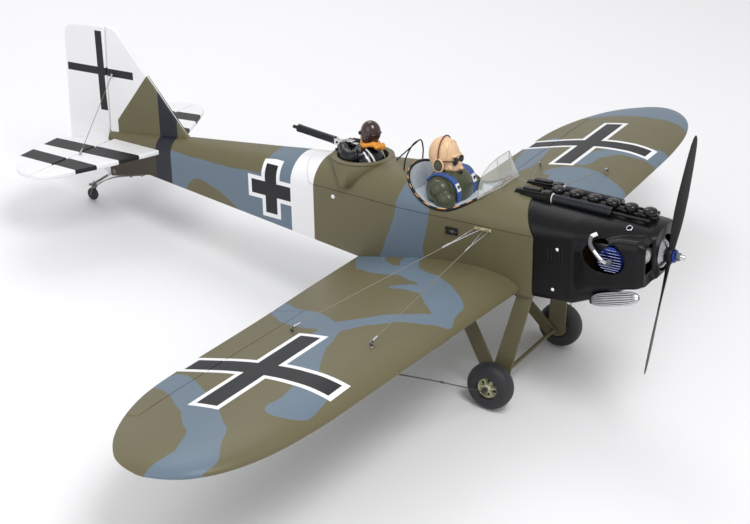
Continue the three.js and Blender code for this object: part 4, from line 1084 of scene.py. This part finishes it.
def propeller_blade(direction):
    """A blade from rows of (reach, chord, thickness, twist in degrees)."""
    rows = ((7, 12.5, 7.5, 56), (22, 17, 7, 46), (40, 22.5, 6, 37), (60, 26.5, 5, 30), (85, 28, 4.2, 24),
        (110, 26.5, 3.5, 19), (135, 23.5, 2.9, 16), (155, 18.5, 2.3, 14), (165, 12.5, 1.7, 13),
        (169.3, 5, 1.2, 13))
    middle = -343.8
    rings = []
    for reach, chord, thick, twist in rows:
        turn = radians(twist)
        ring = []
        for k in range(20):
            a = tau * k / 20
            u, v = chord / 2 * cos(a), thick / 2 * sin(a)
            y = middle + (u * sin(turn) + v * cos(turn)) * 0.62
            ring.append((direction * reach, y, direction * (u * cos(turn) - v * sin(turn))))
        rings.append(ring)
    return loft(rings)


def build_outlet():
    """Ribbed silver outlet, a rounded barrel lying along the cowl's lower edge."""
    rear, front = Vector((-67, -257.5, -19.5)), Vector((-67, -327, -0.5))
    along = (front - rear).normalized()
    across = Vector((1, 0, 0))
    up = across.cross(along)
    steps = 20

    def run(angle, radius):
        points = []
        for k in range(steps + 1):
            share = -0.98 + 1.96 * k / steps
            bulge = (1 - abs(share) ** 4) ** 0.5
            points.append(rear.lerp(front, k / steps) + (across * cos(angle) + up * sin(angle)) * radius
                * bulge)
        return points
    core = [run(tau * k / 32, 8.8) for k in range(32)]
    rings = [[core[a][k] for a in range(32)] for k in range(steps + 1)]
    piece("outlet_body", loft(rings), STEEL, "ribbed_outlet", angle=60)
    ribs = [tube(run(tau * k / 18, 9.4), 0.9, 10) for k in range(18)]
    piece("outlet_ribs", merged(*ribs), POLISHED, angle=60)
    mouth = tube([rear - along * 0.8, rear + along * 3], [5.2, 5.8], 24)
    piece("outlet_mouth", mouth, SATIN_BLACK, angle=60)


# ---------- cockpits ----------
def rim_path(count=96):
    return [Vector((x, y, deck_height(x, y))) for x, y in cockpit_outline(0, count)]


def build_rim():
    path = rim_path()
    rim = piece("padded_rim", tube(path, 2.3, 16, loops=True), SATIN_BLACK, "cockpit_rim", body="hatch",
        angle=60)
    dashes = []
    count = len(path)
    for k in range(0, count, 4):
        a, b = path[k], path[(k + 2) % count]
        outward = Vector((a.x / COCKPIT_HALF_X ** 2, (a.y - COCKPIT_Y) / COCKPIT_HALF_Y ** 2,
            0)).normalized()
        shift = outward + Vector((0, 0, 1.7))
        dashes.append(tube([a + shift, a.lerp(b, 0.5) + shift * 1.08, b + shift], [0.6, 0.8, 0.6], 8))
    piece("rim_lacing", merged(*dashes), ORANGE, body="hatch")


def build_windshield():
    half = (((56, -70, 92.8), (45, -80, 98.8), (30, -94, 106.5)), ((52, -71, 112), (40, -79, 117),
        (26, -88, 124)), ((41, -71, 127), (30, -77, 139), (19, -82, 145.5)))
    rows = [[Vector((-x, y, z)) for x, y, z in row] + [Vector(p) for p in reversed(row)] for row in half]
    rows = [row[:3] + [row[2].lerp(row[3], t) for t in (0.33, 0.67)] + row[3:] for row in rows]
    columns = [flowing([row[c] for row in rows], 6) for c in range(len(rows[0]))]
    grid = [[column[r] for column in columns] for r in range(len(columns[0]))]
    outer = [p for row in grid for p in row]
    wide = len(grid[0])
    faces = [(r * wide + c, r * wide + c + 1, (r + 1) * wide + c + 1, (r + 1) * wide + c)
        for r in range(len(grid) - 1) for c in range(wide - 1)]
    sheet = solid_sheet((outer, faces), 1.1)
    piece("windshield_panes", sheet, CLEAR, "windshield", body="hatch", angle=25)
    # the pale lines along the edges and the two folds are painted highlight on the clear sheet
    edges = [tube(run, 0.6, 8) for run in (grid[0], grid[-1], columns[0], columns[-1])]
    folds = [tube(columns[c], 0.5, 8) for c in (2, 5)]
    piece("windshield_edge_highlights", merged(*edges, *folds), CLEAR_EDGE_HIGHLIGHT, body="hatch")


def build_hoop():
    foot = deck_height(28, 68) + 1
    route = flowing([(-28, 68, foot), (-26, 66, 122), (-14, 62, 139), (0, 60, 143), (14, 62, 139),
        (26, 66, 122), (28, 68, foot)], 8)
    brace = tube([(0, 60, 142.6), (0, 97, deck_height(0, 97) + 0.6)], 1, 10)
    piece("roll_hoop_wire", merged(tube(route, 1.1, 12), brace), SATIN_BLACK, "roll_hoop", body="hatch",
        angle=60)


def ring_path(across, along, rise=0.0, count=40, place=(0, 0, 0)):
    """A closed oval in plan, with a slight rise from front to back."""
    return [Vector(place) + Vector((across * cos(a), along * sin(a), rise * sin(a))) for a in turns(count)]


PILOT_HEAD, PILOT_HEAD_SIZE = (0, 12, 124), (1.03, 1.03, 1.13)


def worn_on_head(name, shape, paint, angle=60):
    piece(name, moved(shape, PILOT_HEAD, PILOT_HEAD_SIZE), paint, body="hatch",
        angle=angle)


def build_pilot():
    torso = remeshed(merged(ball((0, 5, 80), (45, 33, 34), 36), ball((0, 4, 96), (36, 24, 16), 28),
        twins((37, 2, 86), (14.5, 18, 19)), twins((43, -10, 73), (11, 17, 17))), 1.3, 3)
    torso = cut(torso, box((-80, -60, 20), (80, 80, FLOOR_Z + 1.2)))
    piece("pilot_torso", torso, SUIT, "pilot", body="hatch", angle=60)
    collar = tube(ring_path(15.5, 14, 1, place=(0, 9.5, 108)), 3.6, 12, loops=True)
    piece("pilot_collar", collar, SUIT, body="hatch", angle=60)
    build_pilot_head()
    build_harness()


def build_pilot_head():
    skull = merged(ball((0, 3, 5), (19.5, 23.5, 24), 40), ball((0, -6, -10), (15.5, 16.5, 20), 32),
        ball((0, -14, -23.5), (7.8, 7, 6.2)), ball((0, -22.5, -6), (2.6, 3.8, 5.5)),
        ball((0, -25, -9.8), (3.4, 3.4, 2.6)), ball((0, -18.5, 7), (12.5, 3.2, 2.4)),
        ball((0, -20.8, -16), (5, 2.4, 1.1)), ball((0, -20.4, -18.4), (4.4, 2.6, 1.3)),
        twins((10.5, -13.5, -8.5), (4.8, 4.5, 4.4)), tube([(0, 2, -12), (0, 1, -28)], 11.2, 24))
    worn_on_head("pilot_head", remeshed(skull, 0.9, 3), SKIN_TONE, 70)
    band = [(21.2 * cos(a), 1.5, 6 + 24.5 * sin(a)) for a in (pi * (k - 2) / 28 for k in range(33))]
    edge = [(16.4 * cos(a), -9.8, 5 + 20.2 * sin(a)) for a in (pi * (k - 3) / 24 for k in range(31))]
    worn_on_head("pilot_cap_edge", tube(edge, 0.9, 10), SKIN_TONE)
    worn_on_head("pilot_headset_band", tube(band, 1, 10), RED_BROWN, 35)
    cups, pads, glasses = [], [], [tube([(-3, -22.8, 1.8), (3, -22.8, 1.8)], 0.8, 8)]
    for s in (-1, 1):
        centre = Vector((s * 19.5, 1.5, -5))
        cups.append(lathe([(0, -2), (6.2, -2), (7, 0.5), (6.2, 3.6), (0, 4.2)], centre, (s, 0, 0), 28))
        pads.append(tube([centre + Vector((s, p.x, p.y)) for p in ring_path(7.8, 8.8, count=28)], 1.4, 10,
            loops=True))
        lens = Vector((s * 8, -20.2, 0.2))
        glasses.append(ball(lens, (7.2, 2.8, 5.2), 24))
        glasses.append(tube([lens + Vector((s * 5.2, 1, 1)), (s * 17.8, -10, 1.5), (s * 20, -2, 0.5)], 0.7,
            8))
    worn_on_head("pilot_ear_cups", merged(*cups), SUIT, 40)
    worn_on_head("pilot_ear_pads", merged(*pads), SKIN_TONE)
    worn_on_head("pilot_sunglasses", merged(*glasses), BLACK)
    boom = flowing([(-20.5, -3, -9), (-17, -15, -14), (-6, -26.5, -14)], 6)
    mic = ball((-4, -27.5, -13.8), (2.6, 2, 2), 16)
    worn_on_head("pilot_microphone", merged(tube(boom, 0.6, 8), mic), SATIN_BLACK)


def build_harness():
    straps, buckles, tongues = [], [], []
    path = flowing([(23, 29, 95), (24.5, 17.5, 105.5), (25, 3, 108), (25, -12, 103), (24.5, -19.5, 94),
        (24, -23.5, 82), (23.5, -22.5, 70)], 4)
    for s in (-1, 1):
        centre = [Vector((s * p.x, p.y, p.z)) for p in path]
        rings = []
        for i, point in enumerate(centre):
            along = (centre[min(i + 1, len(centre) - 1)] - centre[max(i - 1, 0)]).normalized()
            across = (Vector((1, 0, 0)) - along * along.x).normalized()
            out = along.cross(across)
            rings.append([point + across * a * 5.4 + out * b * 1.4
                for a, b in ((-1, -1), (1, -1), (1, 1), (-1, 1))])
        straps.append(loft(rings))
        middle = len(centre) * 5 // 8
        a, b = centre[middle], centre[middle + 4]
        along = (b - a).normalized()
        out = along.cross(Vector((1, 0, 0)))
        out = out if out.y < 0 else -out
        place = (a + b) / 2 + out * 1.2
        buckles.append(loft([[place + Vector((1, 0, 0)) * u * 4.8 + along * v * 6.2 + out * w
            for u, v in ((-1, -1), (1, -1), (1, 1), (-1, 1))] for w in (-1, 1)]))
        half = Vector((2.2, 1, 2.4))
        tongues.append(box(place + out - half, place + out + half))
    piece("pilot_harness", merged(*straps), HARNESS, body="hatch", bevel=0.3)
    piece("pilot_buckle_tongues", merged(*tongues), SATIN_BLACK, body="hatch",
        bevel=0.3)
    piece("pilot_buckles", merged(*buckles), WHITE_PLASTIC, body="hatch", bevel=0.5)


def build_gunner():
    y, seat = PIT_Y - 8, FLOOR_Z + 4.8
    torso = merged(ball((0, y, 90), (33.5, 27, 33), 32), ball((0, y + 3, 111), (31, 19, 12.5), 28))
    arms = [tube(flowing([(s * 25.5, y, 112.5), (s * 30, y + 12, 109.5), (s * 23.5, y + 26, 112),
        (s * 12.5, PIT_Y + 27, 116)], 5), [10.5] * 10 + [8] * 6, 16) for s in (-1, 1)]
    body = cut(remeshed(merged(torso, *arms), 1.2, 3), box((-60, 90, 20), (60, 220, seat)))
    piece("gunner_jacket", body, JACKET, "gunner", body="gun_turret", angle=70)
    gloves = twins((10.5, PIT_Y + 30.5, 118), (5.6, 6.6, 6), 20)
    piece("gunner_gloves", gloves, HELMET, body="gun_turret", angle=60)
    build_gunner_head()


def build_gunner_head():
    """Leather helmet, goggles, face and scarf, drawn about the middle of the head."""
    place = (0, PIT_Y - 13, 142.5)
    round_neck = turns(40)
    wrap = tube([(11.8 * cos(a), 12 * sin(a), 1.6 * sin(a * 2) - 17) for a in round_neck],
        [4 + 0.8 * sin(a * 5) for a in round_neck], 14, loops=True)
    scarf = merged(wrap, ball((-4, -16.5, -18.5), (8.5, 5, 4.4), 20),
        ball((5, -18.5, -21), (7, 4.2, 6.2), 20))
    piece("gunner_scarf", remeshed(moved(scarf, place), 0.9, 2), SCARF, body="gun_turret", angle=60)
    cap = merged(ball((0, -1.5, 1), (14.8, 16, 18.2), 36), tube([(0, 0, -4), (0, -1, -16.5)], [13.6, 11.8],
        28), twins((13.8, 1, -5), (3, 5.8, 6.6)))
    piece("gunner_helmet", remeshed(moved(cap, place), 0.9, 3), HELMET, body="gun_turret", angle=70)
    seam = tube(ring_path(15.2, 16.5, -1.2, 48, (0, -1.5, -0.5)), 0.8, 8, loops=True)
    piece("gunner_helmet_seam", moved(seam, place), HELMET, body="gun_turret", angle=60)
    face = merged(ball((0, 7.5, -5.5), (10, 8.2, 11.2), 28), ball((0, 16.2, -5), (1.8, 2.2, 3.4)),
        ball((0, 15, -11), (3.2, 1.4, 0.8)), ball((0, 12.5, -15), (4.5, 3.8, 3)))
    piece("gunner_face", remeshed(moved(face, place), 0.7, 2), SKIN_TONE, body="gun_turret", angle=70)
    lenses = moved(twins((5.2, 14, -0.8), (4.4, 2.4, 3.2), 18), place)
    piece("gunner_goggles", lenses, BLACK, body="gun_turret", angle=60)


def build_rear_gun():
    cup_top = PIT_RIM_Z + GAP
    wall = PIT_INNER - 0.8
    ring = upright([(0, FLOOR_Z + 1), (wall, FLOOR_Z + 1), (wall, cup_top), (PIT_OUTER - 0.6, cup_top),
        (PIT_OUTER, cup_top + 0.8), (PIT_OUTER - 0.4, cup_top + 2.6), (PIT_OUTER - 2, cup_top + 3.2),
        (wall - 1, cup_top + 3.2), (wall - 2, cup_top + 2.2), (wall - 2, FLOOR_Z + 4), (0, FLOOR_Z + 4)],
        (0, PIT_Y, 0), 72)
    piece("gun_ring_cup", ring, OLIVE_PART, "gun_ring", body="gun_turret")
    base = PIT_Y + 16
    receiver = merged(box((-5, base, 114.5), (5, base + 34, 124.5)),
        box((-3.4, base - 8, 115.5), (3.4, base + 2, 121.5)), tube([(-7.8, base + 16, 120.5),
        (7.8, base + 16, 120.5)], 2.4, 14))
    piece("rear_gun_receiver", receiver, POLISHED, "rear_gun", body="gun_turret", bevel=0.8)
    drum = upright([(0, 0), (8.2, 0), (8.8, 0.8), (8.8, 3), (8, 3.8), (0, 3.8)], (0, base + 18, 124.7), 36)
    piece("rear_gun_drum", drum, WHITE_PLASTIC, body="gun_turret", angle=40)
    start, end = Vector((0, base + 34, 119.8)), Vector((0, PIT_Y + 118, 129.2))
    sleeve = solid_sheet(perforated(start, end, 6, 12, 16), 0.8)
    piece("rear_gun_jacket", sleeve, GUN_METAL, body="gun_turret", angle=40)
    tip = Vector((0, PIT_Y + 127.5, 130.3))
    barrel = merged(tube([start, end], 4.4, 16), tube([start, start.lerp(end, 0.05)], 6.4, 20),
        tube([end.lerp(start, 0.07), end], [6.4, 6.4], 20), tube([end, tip], [3, 2.6], 16))
    piece("rear_gun_barrel", barrel, BLACK, body="gun_turret", angle=50)
    post_y = PIT_Y + 44
    post = merged(tube([(0, post_y, cup_top + 3.2), (0, post_y, 116)], 2.4, 16),
        upright([(0, 0), (6, 0), (6, 1.2), (2.8, 2.2), (0, 2.2)], (0, post_y, cup_top + 3), 24),
        tube([(-6.2, post_y, 119), (6.2, post_y, 119)], 1.6, 12))
    piece("rear_gun_post", post, SATIN_BLACK, body="gun_turret", angle=50)


# ---------- undercarriage ----------
LEG_TOP_X, LEG_TOP_Z = 60, BELLY_Z - GAP
LEG_SLOPE = (98 - LEG_TOP_X) / (LEG_TOP_Z + 170)


def leg(side, outline, offset):
    """A board that leans outwards from the belly to the axle."""
    rings = []
    for extra in (0.0, 3.6):
        rings.append([(side * (LEG_TOP_X + offset + (LEG_TOP_Z - z) * LEG_SLOPE + extra), y, z)
            for y, z in outline])
    return loft(rings)


def build_undercarriage():
    front = ((-165, LEG_TOP_Z), (-140, LEG_TOP_Z), (-117, -160), (-116.5, -168), (-121, -175),
        (-129, -177.5), (-138, -175), (-145, -168))
    rear = ((-38, LEG_TOP_Z), (-13, LEG_TOP_Z), (-112, -172), (-120, -175.5), (-129, -173), (-135, -166))
    for word, side in SIDES:
        piece(f"leg_front_{word}_board", leg(side, front, 0), OLIVE_WOOD, f"leg_front_{word}", bevel=0.9,
            segments=3)
        piece(f"leg_rear_{word}_board", leg(side, rear, -4.2), OLIVE_WOOD, f"leg_rear_{word}", bevel=0.9,
            segments=3)
        build_wheel(word, side)
    shapes = [tube([(-139, 0, 0), (139, 0, 0)], 2, 20)]
    for s in (-1, 1):
        for low, high in ((134.4, 137.4), (101.3, 102.6)):
            shapes.append(lathe([(2, low), (4, low), (4.4, low + 0.4), (4.4, high - 0.4), (4, high),
                (2, high)], (0, 0, 0), (s, 0, 0), 28))
        shapes.append(tube([(s * 136, 0, 0), (s * 136, 0, -5.6)], 1, 8))
    sleeve = tube([(-90.5, 0, 0), (90.5, 0, 0)], 3.1, 20)
    piece("axle_sleeve", moved(sleeve, AXLE), OLIVE_WOOD)
    piece("axle_rod", moved(merged(*shapes), AXLE), STEEL, "axle", angle=40)


def build_wheel(word, side):
    """Balloon tyre, and a hub with six spokes, with black spots between them painted as the shade of
    openings.
    """
    centre = AXLE + Vector((side * WHEEL_X, 0, 0))
    axis = (side, 0, 0)
    section = []
    for k in range(25):
        a = pi * k / 24 - pi / 2
        width = 14.8 * copysign(abs(sin(a)) ** 0.82, sin(a))
        section.append((17.2 + 18.3 * abs(cos(a)) ** 0.62, width))
    section = [(16.1, -10.5), (16.4, -13.2), *section, (16.4, 13.2), (16.1, 10.5)]
    count = 72
    tyre = lathe(section, centre, axis, count)
    tyre = tyre[0], [f for f in tyre[1] if len(f) == 4]
    last = (len(section) - 1) * count
    tyre[1].extend((last + k, last + (k + 1) % count, (k + 1) % count, k) for k in range(count))
    piece(f"tyre_{word}_rubber", tyre, RUBBER, f"tyre_{word}", body=f"wheel_{word}", angle=50)
    hub = [lathe([(2.3, -13), (6, -13), (6, -8.5), (15, -8.5), (15.7, -10), (15.7, 10), (14.6, 10.8),
        (13.8, 8.8), (13.6, 5.2), (7, 4.6), (6.2, 12), (5.2, 15), (2.3, 15)], centre, axis, 48)]
    opening_shade = []
    for k in range(6):
        a = tau * k / 6
        out = Vector((0, cos(a), sin(a)))
        across = Vector((0, -sin(a), cos(a)))
        push = Vector((side, 0, 0))
        rings = []
        for reach, half, high in ((5, 2.4, 10.5), (14, 1.6, 7.8)):
            base = centre + out * reach
            rings.append([base + across * -half + push * 3, base + across * half + push * 3,
                base + across * half * 0.6 + push * high, base - across * half * 0.6 + push * high])
        hub.append(loft(rings))
        # black spot on the recess floor between two spokes: painted shade standing for an opening
        between = tau * (k + 0.5) / 6
        opening_shade.append(ball(centre + Vector((side * 5.2, 10.4 * cos(between), 10.4 * sin(between))),
            (1.2, 2.7, 2.7), 16))
    piece(f"hub_{word}_windows", merged(*opening_shade), SATIN_BLACK, body=f"wheel_{word}",
        angle=60)
    piece(f"hub_{word}_spokes", merged(*hub), CREAM, f"hub_{word}", body=f"wheel_{word}", angle=40)


def build_tail_wheel():
    build_tail_leaf()
    pin = STEER_PIN
    fork = [moved(merged(tube([(0, 0, -6), (0, 0, 6.2)], 1.4, 14),
        upright([(0, 1.4), (4.2, 1.4), (4.2, 3.2), (0, 3.4)], (0, 0, 0)), block(12, (-2, 1.6), (2, 3)),
        block(5.4, (-2, -5.8), (3, -3.4))), pin)]
    fork += [tube([pin + Vector((x, 0.5, -4.5)), TAIL_WHEEL + Vector((x, 0, 0))], 1.1, 10)
        for x in (-4.8, 4.8)]
    fork.append(moved(tube([(-6, 0, 0), (6, 0, 0)], 1.2, 12), TAIL_WHEEL))
    horn_ends = [Vector((x, 668, -15.5)) for x in (-8.5, 8.5)]
    fork_ends = [pin + Vector((x, 0, 3.4)) for x in (-10.5, 10.5)]
    fork += [ball(end, (2.4, 2.4, 2.4), 16) for end in fork_ends]
    piece("tail_fork_wires", merged(*fork), STEEL, "tail_fork", body="tail_steering", angle=40)
    bend = Vector((0, 4, -1))
    rods = [tube(flowing([horn, horn + bend, bar - bend, bar], 5), 1.3, 12)
        for horn, bar in zip(horn_ends, fork_ends)]
    piece("tiller_rods", merged(*rods), STEEL, angle=60)
    horn = merged(block(10.5, (666.5, -16.5), (669.5, -14.8)), block(4, (664, -16.5), (672, -13.5)),
        *[ball(end, (2.4, 2.4, 2.4), 16) for end in horn_ends])
    piece("rudder_horn", horn, WHITE_PLASTIC, body="rudder_unit", bevel=0.3)
    flank = [(1.5, -3), (5.2, -3), (6, -2.6), (8.5, -3.1), (10.3, -2.4), (11, -0.9)]
    tyre = lathe(flank + [(r, -w) for r, w in reversed(flank)], TAIL_WHEEL, (1, 0, 0), 56)
    piece("tail_wheel_tyre", tyre, RUBBER, "tail_wheel", body="tail_wheel_unit", angle=40)


def build_tail_leaf():
    """Bent leaf spring and its two screws."""
    leaf = [(592, -3.6), (655, -18.2), (690, -34), (706, STEER_PIN.z), (719, STEER_PIN.z - 1)]
    centre = flowing([(y, z, 0) for y, z in leaf], 5)
    rings = []
    for i, point in enumerate(centre):
        half = 5.8 - 0.6 * i / len(centre)
        y, z = point.x, point.y - (0.6 if i < 8 else 0)
        rings.append([(x, y, z + t) for x, t in ((-half, -0.9), (half, -0.9), (half, 0.9), (-half, 0.9))])
    screws = [upright([(0, 0), (2.6, 0), (2.4, -1.8), (0, -1.8)], (0, y, z), 20)
        for y, z in ((602, -7.5), (626.5, -13.5))]
    piece("tail_leaf", loft(rings), STEEL, "tail_bracket", bevel=0.4)
    piece("tail_leaf_screws", merged(*screws), STEEL, angle=40)


# ---------- rigging and small fittings ----------
def build_rigging():
    for word, side in SIDES:
        plate = box((min(side * 69.4, side * 71.2), -101, 52), (max(side * 69.4, side * 71.2), -74, 57))
        holes = [lathe([(0, 70.8), (1.3, 70.8), (1, 72.2), (0, 72.4)], (0, y, 54.5), (side, 0, 0), 16)
            for y in (-98.5, -87.5, -76.5)]
        piece(f"rigging_plate_{word}", merged(plate, *holes), BRASS, f"top_rigging_{word}", bevel=0.5)
        wires, ends, eyes = [], [], []
        for y, lug_y in ((HOOK_AFT, -80), (HOOK_FORE, -94)):
            skin = wing_top(HOOK_X, y)
            eye = Vector((side * HOOK_X, y, skin + 6))
            start = Vector((side * 70.8, lug_y, 54.5))
            fork = start.lerp(eye, 0.17)
            wires.append(tube([fork, eye], 0.6, 10))
            for shift in (-5, 5):
                ends.append(tube([start + Vector((0, shift, 0)), fork], 0.8, 10))
            along = (eye - fork).normalized()
            ends.append(tube([fork - along * 2, fork + along * 12], [1.6, 1.3], 12))
            ends.append(tube([eye - along * 14, eye - along * 2], [1.3, 1.7], 12))
            loop = [eye + Vector((side * 2.8 * cos(a), 0, 2.8 * sin(a) - 1)) for a in turns(20)]
            eyes.append(tube(loop, 1.1, 10, loops=True))
            eyes.append(tube([(side * HOOK_X, y, skin - 0.4), (side * HOOK_X, y, skin + 2.6)], 1.6, 12))
            eyes.append(upright([(0, 0), (3.6, 0), (3, 0.9), (0, 1)], (side * HOOK_X, y, skin - 0.2), 20))
        piece(f"rigging_wires_{word}", merged(*wires), CABLE)
        piece(f"rigging_ends_{word}", merged(*ends), POLISHED, angle=60)
        piece(f"rigging_eyes_{word}", merged(*eyes), STEEL, angle=60)
        collar = AXLE + Vector((side * 140.4, 0, 0))
        under = Vector((side * HOOK_X, HOOK_FORE, wing_bottom(HOOK_X) - GAP))
        split = collar.lerp(under, 0.4)
        shapes = [tube([collar, split], 0.8, 10), tube([split.lerp(collar, 0.05), split.lerp(under, 0.02)],
            1.4, 12)]
        for shift in (-6, 6):
            end = under + Vector((0, shift, 0))
            shapes.append(tube([split, end - Vector((0, 0, 4))], 0.8, 10))
            shapes.append(tube([end - Vector((0, 0, 5.2)), end], 1.5, 12))
        shapes.append(lathe([(0.0, 139.3), (3.2, 139.3), (3.2, 141.3), (2.4, 141.8), (0, 141.8)], AXLE,
            (side, 0, 0), 24))
        piece(f"under_rigging_{word}_wires", merged(*shapes), DARK_CABLE, f"under_rigging_{word}", angle=60)


def screw(x, y, z, side, radius=2.6):
    """A round-headed screw on a side face."""
    return lathe([(0, 0), (radius, 0), (radius, 0.6), (radius * 0.75, 1.4), (0, 1.8)], (x, y, z),
        (side, 0, 0), 24)


def build_fittings():
    for word, side in SIDES:
        heads = [screw(side * (linear(WIDTH, 176.4) - 0.1), 176.4, 51.4, side, 3.4),
            screw(side * 67.2, -203, 46, side), screw(side * 67.2, -198, -16, side)]
        piece(f"white_screws_{word}", merged(*heads), WHITE_PLASTIC, angle=40)
        bolt = lathe([(0, 0), (3.8, 0), (3.8, 0.8), (2.2, 1), (2.2, 2), (0, 2.2)],
            (side * linear(WIDTH, 650.5), 650.5, -5), (side, 0, 0), 24)
        piece(f"tail_bolt_{word}", bolt, STEEL, angle=40)
    plate = cut(box((-71.4, -46, 36.5), (-69.4, -26, 47.5)), box((-75, -41.5, 39.8), (-60, -30.5, 44.2)))
    piece("switch_bezel", plate, SATIN_BLACK, "switch_plate", bevel=0.4)
    knob = merged(box((-72.4, -41, 40.3), (-69.6, -37, 43.7)), box((-73.8, -40, 40.5), (-72, -38, 43.5)))
    piece("switch_knob", knob, GREY_PLASTIC, "switch_slider", body="switch_unit", bevel=0.3)
    dots = [screw(-71.3, y, 42, -1, 1.1) for y in (-44.2, -27.8)]
    piece("switch_screws", merged(*dots), STEEL, angle=40)


def dress_inside_nodes():
    """CAD nodes that stay: each gets its own material."""
    looks = {"wing_joiner": POLISHED, "firewall": PLYWOOD, "servo_tray": PLYWOOD,
        "fuel_tank": WHITE_PLASTIC, "battery": BLUE_METAL, "rudder_servo": SATIN_BLACK,
        "elevator_servo": SATIN_BLACK}
    for name, look in looks.items():
        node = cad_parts[name]
        node.data.materials.clear()
        node.data.materials.append(look)


# ---------- stage ----------
def build_stage():
    mesh = bpy.data.meshes.new("floor")
    half = 9.0
    mesh.from_pydata([(-half, -half, 0), (half, -half, 0), (half, half, 0), (-half, half, 0)], [],
        [(0, 1, 2, 3)])
    floor = bpy.data.objects.new("floor", mesh)
    bpy.context.scene.collection.objects.link(floor)
    mesh.materials.append(plain("studio_floor", colour(238, 238, 240), (0.6, 0.75), 0.01, 2.0, 40.0, 0.01))
    world = bpy.data.worlds.new("studio")
    world.use_nodes = True
    world.node_tree.nodes["Background"].inputs[0].default_value = (1.0, 1.0, 1.0, 1.0)
    world.node_tree.nodes["Background"].inputs[1].default_value = 0.70
    bpy.context.scene.world = world
    for name, place, size, power in (("key", (-1.0, -1.3, 3.0), 1.3, 46.0),
            ("fill", (-2.4, 0.6, 1.3), 1.6, 9.0), ("rim", (1.2, 1.6, 2.6), 1.6, 20.0)):
        light = bpy.data.lights.new(name, "AREA")
        light.energy, light.size = power, size
        lamp = bpy.data.objects.new(name, light)
        lamp.location = place
        lamp.rotation_euler = (Vector((0, -0.05, 0.15)) - Vector(place)).to_track_quat("-Z", "Y").to_euler()
        bpy.context.scene.collection.objects.link(lamp)
    bpy.context.scene.view_settings.view_transform = "Standard"


def build_camera():
    """Camera at the photograph's viewing angle, from the airframe's own axes."""
    data = bpy.data.cameras.new("camera")
    data.lens, data.sensor_width = 73.55, 36.0
    forward, right = Vector((0.78039, 0.48465, -0.39509)), Vector((0.52192, -0.85286, -0.01529))
    up = right.cross(forward)
    turn = Matrix((right, up, -forward)).transposed().to_4x4()
    camera = bpy.data.objects.new("camera", data)
    camera.matrix_world = STAND @ Matrix.Translation((-1.87630, -1.02651, 0.87972)) @ turn
    bpy.context.scene.collection.objects.link(camera)
    bpy.context.scene.camera = camera


build_camera()
build_stage()
build_fuselage()
build_wings()
build_tail()
build_cowl()
build_covers()
build_nose_guns()
build_engine()
build_outlet()
build_rim()
build_windshield()
build_hoop()
build_pilot()
build_gunner()
build_rear_gun()
build_undercarriage()
build_tail_wheel()
build_rigging()
build_fittings()
dress_inside_nodes()
